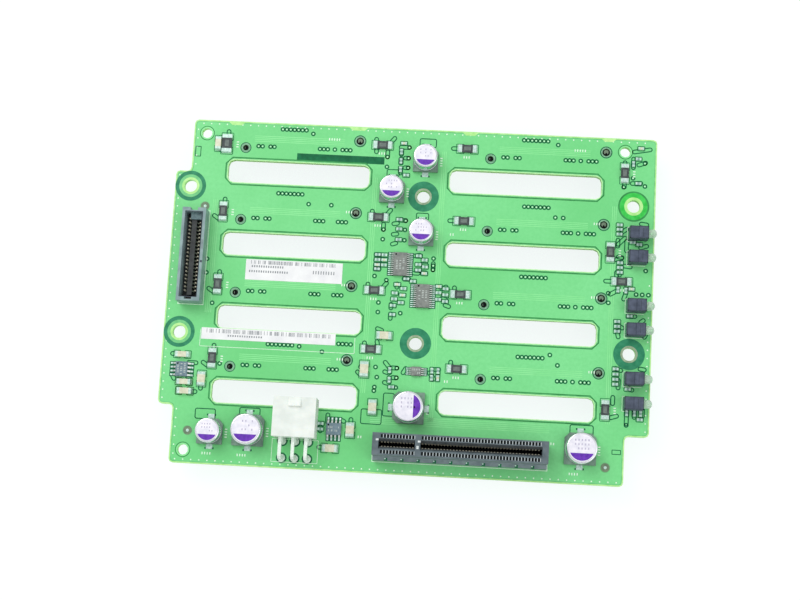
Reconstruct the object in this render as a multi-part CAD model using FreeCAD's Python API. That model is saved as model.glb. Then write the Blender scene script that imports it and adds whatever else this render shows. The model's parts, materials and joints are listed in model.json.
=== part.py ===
import FreeCAD, Part
import math
import os

# Drive backplane board: one printed board that links eight 2.5-inch drives to a server.
# It lies on its eight drive connectors, with the cable side up.
# All sizes are in millimetres.  x runs along the long side from the left edge,
# y runs up from the lower edge and z runs up from the faces that the board rests on.

V = FreeCAD.Vector

# ---------------------------------------------------------------- board
board_length = 160.3
board_depth = 115.4
board_thickness = 2.0
edge_corner_radius = 1.3
corner_flats = 2                     # flats that a routed corner is turned in
upper_left_notch = (5.0, 17.9)       # width, depth of the step at each corner
lower_left_notch = (5.0, 19.0)
lower_right_notch = (7.8, 16.2)

# ---------------------------------------------------------------- drive bays
bay_columns = 2
bay_rows = 4
bay_column_pitch = 82.3
bay_row_pitch = 24.69
first_bay_from_left = 22.8           # small locating peg of the upper left bay
first_bay_from_top = 9.0

# Airflow slot beside each bay: where it starts and its length, for each column
slot_starts = (-5.4, -13.2)
slot_lengths = (47.5, 50.4)
slot_height = 7.7
slot_below_peg = 8.2
slot_corner_radius = 1.9

# ---------------------------------------------------------------- holes of the board
mount_hole_radius = 2.1
mount_from_left = 5.2
mount_from_right = 7.2
mount_middle_shift = 0.2             # from the middle of the strip between the columns
mount_from_top = 23.0
mount_bay_step = 2                   # bays between the two rows of mounting holes

tooling_hole_radius = 1.75
tooling_hole_sides = 10
tooling_from_left = 9.4
tooling_from_right = 10.5
tooling_from_top = 4.6
tooling_from_bottom = 4.4

# ---------------------------------------------------------------- drive connectors, below
connector_height = 8.0               # drive side face of the board above the rest
connector_width = 8.4
connector_ear_reach = 2.6            # body beyond each locating peg
connector_rise = 3.0                 # middle of the body above the small peg
peg_span = 38.35
peg_rise = 4.0                       # the large peg sits higher than the small one
small_peg_radius = 1.0
large_peg_radius = 1.35
peg_sides = 6
peg_hole_clearance = 0.1
peg_sink = 0.3                       # tip of a peg below the cable side face
guide_length = 5.2                   # the two guide posts that the connector stands on
guide_bevel = 1.1
tongue_body_width = 6.2
tongue_body_height = 6.9
drive_slot_width = 1.5
drive_slot_depth = 5.2
drive_key_length = 1.3
drive_key_width = 1.6
drive_contact_width = 0.6
drive_contact_bow = 0.7              # how far a contact bows out of its trough
drive_contact_bow_depth = 1.6        # from the mouth to the bow
drive_contact_set_back = 0.4         # from the mouth to the tip of a contact
drive_contact_pitch = 1.27
drive_trough_depth = 0.8
drive_trough_margin = 0.6
signal_contacts = 7
power_contacts = 15
signal_from_slot_end = 2.3
power_from_slot_end = 1.9

# ---------------------------------------------------------------- card edge slot
card_slot_left = 71.6
card_slot_middle = 9.1               # of the card mouth, from the lower edge of the board
card_slot_width = 7.1
card_slot_height = 11.25
card_slot_end = 3.0                  # housing beyond the first and last contacts
card_contacts_before_key = 11
card_contacts_after_key = 38
card_contact_pitch = 1.0
card_key_gap = 3.0                   # between the contacts either side of the key
card_key_web = 1.7
card_mouth_width = 1.8
card_mouth_depth = 8.6
card_mouth_bevel = 0.8
card_mouth_overrun = 1.0
card_window_width = 0.62
card_window_inner = 1.95             # from the middle of the mouth
card_window_outer = 3.05
card_window_depth = 7.4
card_shelf_width = 1.4
card_shelf_height = 4.2
card_shelf_slope = 1.0

# ---------------------------------------------------------------- sideband receptacle, left
sideband_from_left = 8.2
sideband_from_top = 47.2
sideband_width = 7.8
sideband_length = 31.2
sideband_height = 6.2
sideband_side_wall = 1.1
sideband_end_wall = 1.4
sideband_floor = 1.0
sideband_tongue_width = 1.6
sideband_tongue_height = 3.0
sideband_tongue_margin = 0.8
sideband_contact_count = 20         # in each of the two rows
sideband_pitch = 1.27
sideband_contact_width = 0.5
sideband_contact_bow = 0.7
sideband_contact_bow_height = 2.0
sideband_notch_width = 2.4
sideband_notch_depth = 0.9

# ---------------------------------------------------------------- power header
header_from_left = 46.0
header_rear_from_bottom = 9.9
header_width_margin = 2.7            # body beyond the outer pins
header_pitch = 4.2
header_columns = 3
header_height = 9.6
header_depth = 12.8
header_lower_row = 2.7               # middle of the lower cells above the board
header_cell = 3.4
header_cell_depth = 9.8
header_cell_bevel = 0.8
header_latch = (4.0, 3.0, 0.9)       # width, depth and height of the latch ramp
pin_size = 1.07
pin_bend = 0.8                       # flat across the outside of the bend
pin_tip_set_back = 3.4
pin_tail_below_board = 1.4
lower_tail_set_back = 1.0            # from the rear face to the lower row of tails
tail_row_gap = 5.5

# ---------------------------------------------------------------- capacitors
small_can = 8.0
large_can = 10.0
# place as spot() takes it, can diameter, side that the mark and a lead point to
capacitor_places = (
    ("middle", 0.4, "top", -10.6, small_can, "down"),
    ("middle", -10.3, "top", -21.6, small_can, "down"),
    ("middle", 0.2, "top", -35.7, small_can, "down"),
    ("middle", -0.9, "bottom", 21.7, large_can, "right"),
    ("left", 138.3, "bottom", 11.4, large_can, "down"),
    ("left", 30.5, "bottom", 11.7, large_can, "down"),
    ("left", 18.0, "bottom", 10.7, small_can, "down"),
)
small_can_height = 6.9
large_can_height = 7.7
can_base_margin = 0.15
can_base_height = 1.3
can_base_bevel = 1.6
lead_thickness = 0.2
lead_width = 1.9
lead_reach = 1.4
lead_tuck = 2.2                      # length of each lead under the base

# ---------------------------------------------------------------- status lamps, right edge
lamp_length = 6.1
lamp_width = 4.2
lamp_height = 5.0
lamp_from_right = 8.6
lamp_pair_from_top = 32.5
lamp_pair_pitch = 24.05
lamp_pairs = 3
lamp_pair_gap = 8.0
lamp_step = 0.35                     # lower rear part of the lamp housing
lamp_step_length = 3.0
lens_radius = 1.5
lens_height = 2.5
lens_overhang = 0.4                  # tip of the lens past the edge of the board

# ---------------------------------------------------------------- chips
fine_body = (4.4, 7.8)               # body across the leads, and along them
fine_pitch = 0.65
fine_lead_count = 12                 # on each side
short_body = (3.2, 3.0)
short_pitch = 0.65
short_lead_count = 4
coarse_body = (3.9, 4.9)
coarse_pitch = 1.27
coarse_lead_count = 4
chip_packages = {
    "fine": (fine_body, fine_pitch, fine_lead_count),
    "short": (short_body, short_pitch, short_lead_count),
    "coarse": (coarse_body, coarse_pitch, coarse_lead_count),
}
# name, place as spot() takes it, package, direction in which the leads point
chip_places = (
    ("bus_expander_chip", "middle", -6.2, "top", -46.3, "fine", "across"),
    ("bus_switch_chip", "middle", 1.8, "top", -56.6, "fine", "across"),
    ("lamp_driver_chip", "middle", 1.0, "bottom", 33.8, "short", "across"),
    ("regulator_chip", "left", 58.3, "bottom", 13.6, "coarse", "along"),
    ("memory_chip", "left", 7.1, "top", -84.8, "coarse", "across"),
)
chip_height = 1.1
chip_stand_off = 0.15
chip_edge_bevel = 0.2
chip_lead_reach = 1.05
chip_lead_foot = 0.55
chip_lead_width_share = 0.45         # of the lead pitch

# ---------------------------------------------------------------- resettable fuses
# one at the left of each bay of the left column, and one each side of the middle strip
fuse_length = 6.0
fuse_width = 2.5
fuse_height = 0.9
fuse_terminal = 1.2
main_fuse_width = 3.3
main_fuse_from_peg = (-6.4, 1.1)
left_fuse_from_peg = (-6.0, 2.5)
middle_fuse_from_peg = (46.0, 2.95)
last_middle_fuse_rise = 5.1          # the lowest fuse of that column sits higher
right_fuse_from_peg = (-7.9, 2.95)
# beside the right edge: place as spot() takes it, direction
edge_fuses = (
    ("right", -10.5, "top", -11.9, "up"),
    ("right", -14.4, "top", -38.8, "up"),
    ("right", -10.4, "top", -48.5, "along"),
    ("right", -14.4, "top", -90.9, "up"),
)

# ---------------------------------------------------------------- ceramic capacitors
# place as spot() takes it, length, width, direction
ceramic_places = (
    ("left", 13.5, "top", -8.0, 4.2, 1.9, "up"),
    ("left", 13.8, "top", -87.6, 4.2, 2.5, "up"),
    ("left", 6.9, "top", -79.9, 4.4, 1.8, "along"),
    ("left", 8.1, "top", -88.9, 4.4, 1.7, "along"),
    ("left", 8.5, "top", -91.9, 4.6, 1.9, "along"),
    ("middle", -10.2, "bottom", 45.1, 4.5, 2.4, "along"),
    ("middle", -16.1, "bottom", 33.7, 4.6, 2.7, "up"),
    ("middle", -12.7, "bottom", 21.4, 4.3, 2.6, "up"),
    ("left", 63.6, "bottom", 13.6, 4.2, 2.6, "up"),
    ("left", 57.4, "bottom", 7.3, 4.6, 2.4, "along"),
)
ceramic_height = 1.3
ceramic_terminal = 0.8

# ---------------------------------------------------------------- labels
label_left = (25.7, 12.6)
label_from_top = (47.0, 70.6)        # upper edge of each label
label_length = (32.2, 44.4)
label_width = (6.9, 3.8)
label_thickness = 0.1

# ---------------------------------------------------------------- worked-out levels
board_bottom = connector_height
board_top = board_bottom + board_thickness
strip_middle = first_bay_from_left + (peg_span + bay_column_pitch) / 2
centre_shift = V(-(board_length + lens_overhang) / 2, -board_depth / 2, 0)


# ================================================================ small helpers
def block(x, y, z, length, width, height):
    """A box with its lowest corner at x, y, z."""
    return Part.makeBox(length, width, height, V(x, y, z))


def middle_block(x, y, z, length, width, height):
    """A box that stands on z with its middle over x, y."""
    return block(x - length / 2, y - width / 2, z, length, width, height)


def rod(x, y, z, radius, height):
    return Part.makeCylinder(radius, height, V(x, y, z))


def rounded_outline(corners):
    """Points round an outline of (x, y, radius), each corner turned in equal flats."""
    points = []
    count = len(corners)
    for i in range(count):
        x, y, radius = corners[i]
        here = V(x, y, 0)
        before = (V(*corners[i - 1][:2], 0) - here).normalize()
        after = (V(*corners[(i + 1) % count][:2], 0) - here).normalize()
        half = before.getAngle(after) / 2
        centre = here + (before + after).normalize() * (radius / math.sin(half))
        start = here + before * (radius / math.tan(half)) - centre
        end = here + after * (radius / math.tan(half)) - centre
        turn = math.atan2(start.cross(end).z, start.dot(end))
        for step in range(corner_flats + 1):
            spoke = FreeCAD.Rotation(V(0, 0, 1), math.degrees(turn * step / corner_flats)).multVec(start)
            points.append(centre + spoke)
    return points


def ring_outline(x, y, radius, sides):
    """Points of a regular outline with flat sides, round x, y."""
    angles = [(i + 0.5) * 2 * math.pi / sides for i in range(sides)]
    return [(x + radius * math.cos(a), y + radius * math.sin(a), 0) for a in angles]


def rectangle(x, y, length, width, radius):
    """Corners of a rectangle from its lower left corner."""
    return [
        (x, y, radius),
        (x + length, y, radius),
        (x + length, y + width, radius),
        (x, y + width, radius),
    ]


def prism(points, run):
    """The solid that a flat polygon of points sweeps along the vector run."""
    outline = [V(*p) for p in points]
    return Part.Face(Part.makePolygon(outline + outline[:1])).extrude(run)


def plate(points, z, height):
    """A plate with a flat outline, standing on z."""
    return prism([(p[0], p[1], z) for p in points], V(0, 0, height))


def save(name, solids):
    """Write the solids of one node, moved so that the origin is under the middle."""
    shape = solids[0] if len(solids) == 1 else Part.makeCompound(solids)
    shape = shape.copy()
    shape.translate(centre_shift)
    shape.exportStep(os.path.join("parts", name + ".step"))


# ================================================================ places on the board
def bays():
    """Column, row and the place of the small peg of each bay, from the upper left."""
    for column in range(bay_columns):
        for row in range(bay_rows):
            x = first_bay_from_left + column * bay_column_pitch
            y = board_depth - first_bay_from_top - row * bay_row_pitch
            yield column, row, x, y


def spot(across, dx, along, dy):
    """A place dx from the left edge, the middle strip or the right edge, and dy from an edge."""
    x = {"left": 0, "middle": strip_middle, "right": board_length}[across]
    y = {"bottom": 0, "top": board_depth}[along]
    return x + dx, y + dy


def mount_places():
    upper = board_depth - mount_from_top
    lower = upper - mount_bay_step * bay_row_pitch
    middle = strip_middle + mount_middle_shift
    for x in (mount_from_left, middle, board_length - mount_from_right):
        yield x, upper
        yield x, lower


def tooling_places():
    upper = board_depth - tooling_from_top
    return (
        (tooling_from_left, upper),
        (board_length - tooling_from_right, upper),
        (tooling_from_left, tooling_from_bottom),
    )


def header_columns_x():
    first = header_from_left - (header_columns - 1) * header_pitch / 2
    return [first + i * header_pitch for i in range(header_columns)]


def tail_rows():
    """For each row of header pins: height over the board and the y of its tails."""
    lower_y = header_rear_from_bottom - lower_tail_set_back
    return (
        (header_lower_row, lower_y),
        (header_lower_row + header_pitch, lower_y - tail_row_gap),
    )


# ================================================================ circuit board
def circuit_board():
    left_up, up = upper_left_notch
    left_down, down = lower_left_notch
    right_down, right_up = lower_right_notch
    r = edge_corner_radius
    right = board_length - right_down
    board = board_plate(
        rounded_outline(
            [
                (left_down, 0, r),
                (right, 0, r),
                (right, right_up, r),
                (board_length, right_up, r),
                (board_length, board_depth, r),
                (left_up, board_depth, r),
                (left_up, board_depth - up, r),
                (0, board_depth - up, r),
                (0, down, r),
                (left_down, down, r),
            ]
        )
    )
    cuts = []
    for column, row, x, y in bays():
        corners = rectangle(
            x + slot_starts[column],
            y - slot_below_peg - slot_height / 2,
            slot_lengths[column],
            slot_height,
            slot_corner_radius,
        )
        cuts.append(board_plate(rounded_outline(corners)))
        for px, py, radius in peg_places(x, y):
            hole = ring_outline(px, py, radius + peg_hole_clearance, peg_sides)
            cuts.append(board_plate(hole))
    for x, y in mount_places():
        cuts.append(rod(x, y, board_bottom, mount_hole_radius, board_thickness))
    for x, y in tooling_places():
        cuts.append(board_plate(ring_outline(x, y, tooling_hole_radius, tooling_hole_sides)))
    for x in header_columns_x():
        for height, y in tail_rows():
            cuts.append(middle_block(x, y, board_bottom, pin_size, pin_size, board_thickness))
    return board.cut(cuts)


def board_plate(points):
    return plate(points, board_bottom, board_thickness)


# ================================================================ drive connectors
def peg_places(x, y):
    """The small and the large locating peg of the bay whose small peg is at x, y."""
    return (
        (x, y, small_peg_radius),
        (x + peg_span, y + peg_rise, large_peg_radius),
    )


def drive_slot_span(x):
    """Start and end of the slot that takes the drive's tongue, between the guide posts."""
    inner = guide_length - connector_ear_reach
    return x + inner, x + peg_span - inner


def guide_post(x, y):
    """A post from the board down to the rest, with a tip that narrows at both ends."""
    half = guide_length / 2
    start = y - connector_width / 2
    points = [
        (x - half, start, connector_height),
        (x - half, start, guide_bevel),
        (x - half + guide_bevel, start, 0),
        (x + half - guide_bevel, start, 0),
        (x + half, start, guide_bevel),
        (x + half, start, connector_height),
    ]
    return prism(points, V(0, connector_width, 0))


def drive_troughs(x):
    """Where the rows of contacts stand beside the slot: first contact and count."""
    start, end = drive_slot_span(x)
    power_start = end - power_from_slot_end - (power_contacts - 1) * drive_contact_pitch
    return (
        (start + signal_from_slot_end, signal_contacts),
        (power_start, power_contacts),
    )


def drive_connector(x, y):
    """One moulded housing: guide posts, slotted middle and two locating pegs."""
    middle_y = y + connector_rise
    start, end = drive_slot_span(x)
    mouth = board_bottom - tongue_body_height
    body = block(
        start,
        middle_y - tongue_body_width / 2,
        mouth,
        end - start,
        tongue_body_width,
        tongue_body_height,
    )
    parts = [
        guide_post(start - guide_length / 2, middle_y),
        guide_post(end + guide_length / 2, middle_y),
    ]
    for px, py, radius in peg_places(x, y):
        outline = ring_outline(px, py, radius, peg_sides)
        parts.append(plate(outline, board_bottom, board_thickness - peg_sink))
    body = body.fuse(parts)
    low_side = middle_y - drive_slot_width / 2
    depth = drive_slot_depth
    cuts = [block(start, low_side, mouth, end - start, drive_slot_width, depth)]
    key_x = end - drive_key_length
    cuts.append(block(key_x, middle_y, mouth, drive_key_length, drive_key_width, depth))
    for first, count in drive_troughs(x):
        margin = drive_contact_width / 2 + drive_trough_margin
        cuts.append(
            block(
                first - margin,
                low_side - drive_trough_depth,
                mouth,
                (count - 1) * drive_contact_pitch + 2 * margin,
                drive_trough_depth,
                depth,
            )
        )
    return body.cut(cuts).removeSplitter()


def drive_contacts(x, y):
    """Springs against the back of the troughs, each bowed out near the mouth."""
    solids = []
    back = y + connector_rise - drive_slot_width / 2 - drive_trough_depth
    mouth = board_bottom - tongue_body_height
    for first, count in drive_troughs(x):
        for i in range(count):
            side = first + i * drive_contact_pitch - drive_contact_width / 2
            profile = [
                (side, back, mouth + drive_contact_set_back),
                (side, back + drive_contact_bow, mouth + drive_contact_bow_depth),
                (side, back, mouth + drive_slot_depth),
            ]
            solids.append(prism(profile, V(drive_contact_width, 0, 0)))
    return solids


# ================================================================ card edge slot
def card_contact_columns():
    first = card_slot_left + card_slot_end
    xs = [first + i * card_contact_pitch for i in range(card_contacts_before_key)]
    second = xs[-1] + card_key_gap
    xs += [second + i * card_contact_pitch for i in range(card_contacts_after_key)]
    return xs


def card_mouths():
    """Start and end of the two lengths of the mouth, either side of the key."""
    xs = card_contact_columns()
    key = xs[card_contacts_before_key - 1] + card_key_gap / 2
    return (
        (xs[0] - card_mouth_overrun, key - card_key_web / 2),
        (key + card_key_web / 2, xs[-1] + card_mouth_overrun),
    )


def card_edge_slot():
    xs = card_contact_columns()
    length = xs[-1] + card_slot_end - card_slot_left
    top = board_top + card_slot_height
    low_side = card_slot_middle - card_slot_width / 2
    body = block(card_slot_left, low_side, board_top, length, card_slot_width, card_slot_height)
    shelf = prism(
        [
            (card_slot_left, low_side, board_top),
            (card_slot_left, low_side - card_shelf_width, board_top),
            (card_slot_left, low_side - card_shelf_width, board_top + card_shelf_height - card_shelf_slope),
            (card_slot_left, low_side, board_top + card_shelf_height),
        ],
        V(length, 0, 0),
    )
    body = body.fuse(shelf)
    cuts = []
    half = card_mouth_width / 2
    for start, end in card_mouths():
        cuts.append(
            prism(
                [
                    (start, card_slot_middle - half, top - card_mouth_depth),
                    (start, card_slot_middle + half, top - card_mouth_depth),
                    (start, card_slot_middle + half, top - card_mouth_bevel),
                    (start, card_slot_middle + half + card_mouth_bevel, top),
                    (start, card_slot_middle - half - card_mouth_bevel, top),
                    (start, card_slot_middle - half, top - card_mouth_bevel),
                ],
                V(end - start, 0, 0),
            )
        )
    for x in xs:
        for side in (-1, 1):
            inner = card_slot_middle + side * card_window_inner
            outer = card_slot_middle + side * card_window_outer
            start = x - card_window_width / 2
            window = [(start, inner, top), (start, outer, top), (start, outer, top - card_window_depth)]
            cuts.append(prism(window, V(card_window_width, 0, 0)))
    return body.cut(cuts).removeSplitter()


# ================================================================ sideband receptacle
def sideband_place():
    return sideband_from_left, board_depth - sideband_from_top


def sideband_receptacle():
    x, y = sideband_place()
    body = middle_block(x, y, board_top, sideband_width, sideband_length, sideband_height)
    floor = board_top + sideband_floor
    inner_width = sideband_width - 2 * sideband_side_wall
    inner_length = sideband_length - 2 * sideband_end_wall
    depth = sideband_height - sideband_floor
    cavity = middle_block(x, y, floor, inner_width, inner_length, depth)
    end = y + sideband_length / 2 - sideband_notch_depth / 2
    outer_notch = middle_block(
        x, end, board_top, sideband_notch_width, sideband_notch_depth, sideband_height
    )
    inner_end = y - inner_length / 2 - sideband_notch_depth / 2
    inner_notch = middle_block(x, inner_end, floor, sideband_notch_width, sideband_notch_depth, depth)
    body = body.cut([cavity, outer_notch, inner_notch])
    tongue = middle_block(
        x,
        y,
        floor,
        sideband_tongue_width,
        inner_length - 2 * sideband_tongue_margin,
        sideband_tongue_height,
    )
    return body.fuse(tongue).removeSplitter()


def sideband_contacts():
    """Two rows of springs on the floor, against both sides of the tongue."""
    solids = []
    floor = board_top + sideband_floor
    x, middle_y = sideband_place()
    first = middle_y - (sideband_contact_count - 1) * sideband_pitch / 2
    for i in range(sideband_contact_count):
        y = first + i * sideband_pitch - sideband_contact_width / 2
        for side in (-1, 1):
            root = x + side * sideband_tongue_width / 2
            profile = [
                (root, y, floor),
                (root + side * sideband_contact_bow, y, floor + sideband_contact_bow_height),
                (root, y, floor + sideband_tongue_height),
            ]
            solids.append(prism(profile, V(0, sideband_contact_width, 0)))
    return solids


# ================================================================ power header
def header_body_width():
    return (header_columns - 1) * header_pitch + 2 * header_width_margin


def power_header():
    width = header_body_width()
    left = header_from_left - width / 2
    rear = header_rear_from_bottom
    front = rear + header_depth
    body = block(left, rear, board_top, width, header_depth, header_height)
    latch_width, latch_depth, latch_height = header_latch
    latch_x = header_from_left - latch_width / 2
    top = board_top + header_height
    latch = prism(
        [
            (latch_x, front - latch_depth, top),
            (latch_x, front, top),
            (latch_x, front - latch_depth, top + latch_height),
        ],
        V(latch_width, 0, 0),
    )
    body = body.fuse(latch)
    cuts = []
    for column, x in enumerate(header_columns_x()):
        for row, (height, tail_y) in enumerate(tail_rows()):
            z = board_top + height
            bevel = header_cell_bevel if (column + row) % 2 else 0
            cuts.append(header_cell_space(x, z, front, bevel))
            cuts.append(middle_block(x, rear, z - pin_size / 2, pin_size, 2 * header_depth, pin_size))
    return body.cut(cuts).removeSplitter()


def header_cell_space(x, z, front, bevel):
    """The space of one cell, open at the mating face, with two corners bevelled or square."""
    half = header_cell / 2
    points = [
        (x - half, front, z - half),
        (x + half, front, z - half),
        (x + half, front, z + half - bevel),
        (x + half - bevel, front, z + half),
        (x - half + bevel, front, z + half),
        (x - half, front, z + half - bevel),
    ]
    if bevel == 0:
        points = [points[0], points[1], points[2], points[4]]
    return prism(points, V(0, -header_cell_depth, 0))


def power_pins():
    """Square pins that run back out of the housing and bend down through the board."""
    solids = []
    tip = header_rear_from_bottom + header_depth - pin_tip_set_back
    bottom = board_bottom - pin_tail_below_board
    half = pin_size / 2
    for x in header_columns_x():
        for height, tail_y in tail_rows():
            z = board_top + height
            side = x - half
            inner_bend = pin_bend / 2
            profile = [
                (side, tip, z + half),
                (side, tail_y - half + pin_bend, z + half),
                (side, tail_y - half, z + half - pin_bend),
                (side, tail_y - half, bottom),
                (side, tail_y + half, bottom),
                (side, tail_y + half, z - half - inner_bend),
                (side, tail_y + half + inner_bend, z - half),
                (side, tip, z - half),
            ]
            solids.append(prism(profile, V(pin_size, 0, 0)))
    return solids


# ================================================================ capacitors
def can_height(diameter):
    return large_can_height if diameter == large_can else small_can_height


def capacitor_can(x, y, diameter):
    low = board_top + lead_thickness + can_base_height
    high = board_top + can_height(diameter)
    return rod(x, y, low, diameter / 2, high - low)


def capacitor_base(x, y, diameter, side):
    """The moulded seat, with the two corners away from the marked side cut off."""
    size = diameter + 2 * can_base_margin
    half = size / 2
    b = can_base_bevel
    corners = [
        (-half, -half),
        (half, -half),
        (half, half - b),
        (half - b, half),
        (b - half, half),
        (-half, half - b),
    ]
    base = plate(corners, board_top + lead_thickness, can_base_height)
    if side == "right":
        base.rotate(V(0, 0, 0), V(0, 0, 1), 90)
    base.translate(V(x, y, 0))
    return base


def capacitor_leads(x, y, diameter, side):
    """Two flat leads under the base, one out of each of two opposite sides."""
    half = diameter / 2 + can_base_margin
    leads = []
    for direction in (-1, 1):
        start = half - lead_tuck
        middle = direction * (start + (lead_tuck + lead_reach) / 2)
        long = lead_tuck + lead_reach
        if side == "right":
            leads.append(middle_block(x + middle, y, board_top, long, lead_width, lead_thickness))
        else:
            leads.append(middle_block(x, y + middle, board_top, lead_width, long, lead_thickness))
    return leads


# ================================================================ status lamps
def lamp_places():
    """Left edge and middle of each lamp housing, from the top down."""
    x = board_length - lamp_from_right
    for pair in range(lamp_pairs):
        upper = board_depth - lamp_pair_from_top - pair * lamp_pair_pitch
        yield x, upper
        yield x, upper - lamp_pair_gap


def lamp_housing(x, y):
    """A block whose rear part is a little lower than its front."""
    side = y - lamp_width / 2
    top = board_top + lamp_height
    profile = [
        (x, side, board_top),
        (x + lamp_length, side, board_top),
        (x + lamp_length, side, top),
        (x + lamp_step_length, side, top),
        (x + lamp_step_length, side, top - lamp_step),
        (x, side, top - lamp_step),
    ]
    return prism(profile, V(0, lamp_width, 0))


def lamp_lens(x, y):
    """A clear rod on the front of the housing, out past the edge of the board."""
    start = x + lamp_length
    reach = board_length + lens_overhang - start
    return Part.makeCylinder(lens_radius, reach, V(start, y, board_top + lens_height), V(1, 0, 0))


# ================================================================ chips
def chip_body(x, y, package, direction):
    """A moulded body with bevelled top edges, turned so that its leads point the right way."""
    width, length = chip_packages[package][0]
    if direction == "along":
        width, length = length, width
    body = middle_block(x, y, board_top + chip_stand_off, width, length, chip_height)
    top = board_top + chip_stand_off + chip_height
    rim = [e for e in body.Edges if e.BoundBox.ZMin > top - 1e-6]
    return body.makeChamfer(chip_edge_bevel, rim)


def chip_leads(x, y, package, direction):
    """Leads that slope from the middle of the body's side to a foot on the board."""
    leads = []
    (width, length), pitch, count = chip_packages[package]
    shoulder = chip_stand_off + chip_height / 2
    lead_width = pitch * chip_lead_width_share
    foot = chip_lead_reach - chip_lead_foot
    for i in range(count):
        place = (i - (count - 1) / 2) * pitch - lead_width / 2
        for side in (-1, 1):
            face = side * width / 2
            profile = [
                (face, place, board_top + shoulder),
                (face + side * chip_lead_reach, place, board_top),
                (face + side * foot, place, board_top),
            ]
            lead = prism(profile, V(0, lead_width, 0))
            if direction == "along":
                lead.rotate(V(0, 0, 0), V(0, 0, 1), 90)
            lead.translate(V(x, y, 0))
            leads.append(lead)
    return leads


# ================================================================ two-ended chips
def two_ended(x, y, length, width, height, terminal, direction):
    """The body and the two metal ends of a part that is soldered at both ends."""
    inner = length - 2 * terminal
    offset = (inner + terminal) / 2
    if direction == "up":
        body = middle_block(x, y, board_top, width, inner, height)
        ends = [
            middle_block(x, y + side * offset, board_top, width, terminal, height)
            for side in (-1, 1)
        ]
    else:
        body = middle_block(x, y, board_top, inner, width, height)
        ends = [
            middle_block(x + side * offset, y, board_top, terminal, width, height)
            for side in (-1, 1)
        ]
    return body, ends


def fuse_places():
    """x, y, width and direction of each resettable fuse."""
    for column, row, x, y in bays():
        if column == 0:
            if row == 0:
                dx, dy = main_fuse_from_peg
                yield x + dx, y + dy, main_fuse_width, "up"
            else:
                dx, dy = left_fuse_from_peg
                yield x + dx, y + dy, fuse_width, "up"
            dx, dy = middle_fuse_from_peg
            if row == bay_rows - 1:
                dy += last_middle_fuse_rise
            yield x + dx, y + dy, fuse_width, "along"
        else:
            dx, dy = right_fuse_from_peg
            yield x + dx, y + dy, fuse_width, "along"
    for across, dx, along, dy, direction in edge_fuses:
        x, y = spot(across, dx, along, dy)
        yield x, y, fuse_width, direction


# ================================================================ build and write
def build():
    os.makedirs("parts", exist_ok=True)
    save("circuit_board", [circuit_board()])

    for column, row, x, y in bays():
        number = str(column * bay_rows + row + 1)
        save("drive_connector_" + number, [drive_connector(x, y)])
        save("drive_contacts_" + number, drive_contacts(x, y))

    save("card_edge_slot", [card_edge_slot()])
    save("sideband_receptacle", [sideband_receptacle()])
    save("sideband_contacts", sideband_contacts())
    save("power_header", [power_header()])
    save("power_pins", power_pins())

    leads = []
    for i, (across, dx, along, dy, diameter, side) in enumerate(capacitor_places):
        number = str(i + 1)
        x, y = spot(across, dx, along, dy)
        save("capacitor_can_" + number, [capacitor_can(x, y, diameter)])
        save("capacitor_base_" + number, [capacitor_base(x, y, diameter, side)])
        leads += capacitor_leads(x, y, diameter, side)
    save("capacitor_leads", leads)

    lenses = []
    for i, (x, y) in enumerate(lamp_places()):
        save("status_lamp_" + str(i + 1), [lamp_housing(x, y)])
        lenses.append(lamp_lens(x, y))
    save("status_lamp_lenses", lenses)

    leads = []
    for name, across, dx, along, dy, package, direction in chip_places:
        x, y = spot(across, dx, along, dy)
        save(name, [chip_body(x, y, package, direction)])
        leads += chip_leads(x, y, package, direction)
    save("chip_leads", leads)

    bodies, terminals = [], []
    for x, y, width, direction in fuse_places():
        body, ends = two_ended(
            x, y, fuse_length, width, fuse_height, fuse_terminal, direction
        )
        bodies.append(body)
        terminals += ends
    save("fuse_bodies", bodies)
    save("fuse_terminals", terminals)

    bodies, terminals = [], []
    for across, dx, along, dy, length, width, direction in ceramic_places:
        x, y = spot(across, dx, along, dy)
        body, ends = two_ended(
            x, y, length, width, ceramic_height, ceramic_terminal, direction
        )
        bodies.append(body)
        terminals += ends
    save("ceramic_capacitors", bodies)
    save("ceramic_terminals", terminals)

    for i, name in enumerate(("wide_label", "narrow_label")):
        low_side = board_depth - label_from_top[i] - label_width[i]
        size = (label_length[i], label_width[i], label_thickness)
        save(name, [block(label_left[i], low_side, board_top, *size)])


build()
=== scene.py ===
"""Looks of a drive backplane board: finishes, markings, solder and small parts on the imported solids.

Places on the board are in millimetres from its left and lower edges, and heights are above its cable side.
"""

import json
import math
import random

import bpy
from mathutils import Euler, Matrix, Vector


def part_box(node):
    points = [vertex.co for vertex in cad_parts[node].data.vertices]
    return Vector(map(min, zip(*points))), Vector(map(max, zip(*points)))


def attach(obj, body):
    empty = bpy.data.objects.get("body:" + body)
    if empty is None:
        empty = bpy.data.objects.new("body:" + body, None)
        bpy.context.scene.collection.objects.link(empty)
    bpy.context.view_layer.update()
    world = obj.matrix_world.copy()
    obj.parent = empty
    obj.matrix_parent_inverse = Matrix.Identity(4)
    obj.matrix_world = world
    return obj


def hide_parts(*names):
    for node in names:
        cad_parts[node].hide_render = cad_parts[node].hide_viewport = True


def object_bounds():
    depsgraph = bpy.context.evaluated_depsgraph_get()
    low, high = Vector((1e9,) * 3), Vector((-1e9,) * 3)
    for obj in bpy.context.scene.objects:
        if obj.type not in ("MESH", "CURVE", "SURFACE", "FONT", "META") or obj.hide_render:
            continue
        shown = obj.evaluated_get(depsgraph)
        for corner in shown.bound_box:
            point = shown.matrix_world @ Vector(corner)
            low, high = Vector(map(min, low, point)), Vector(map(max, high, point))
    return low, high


MM = 0.001
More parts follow.
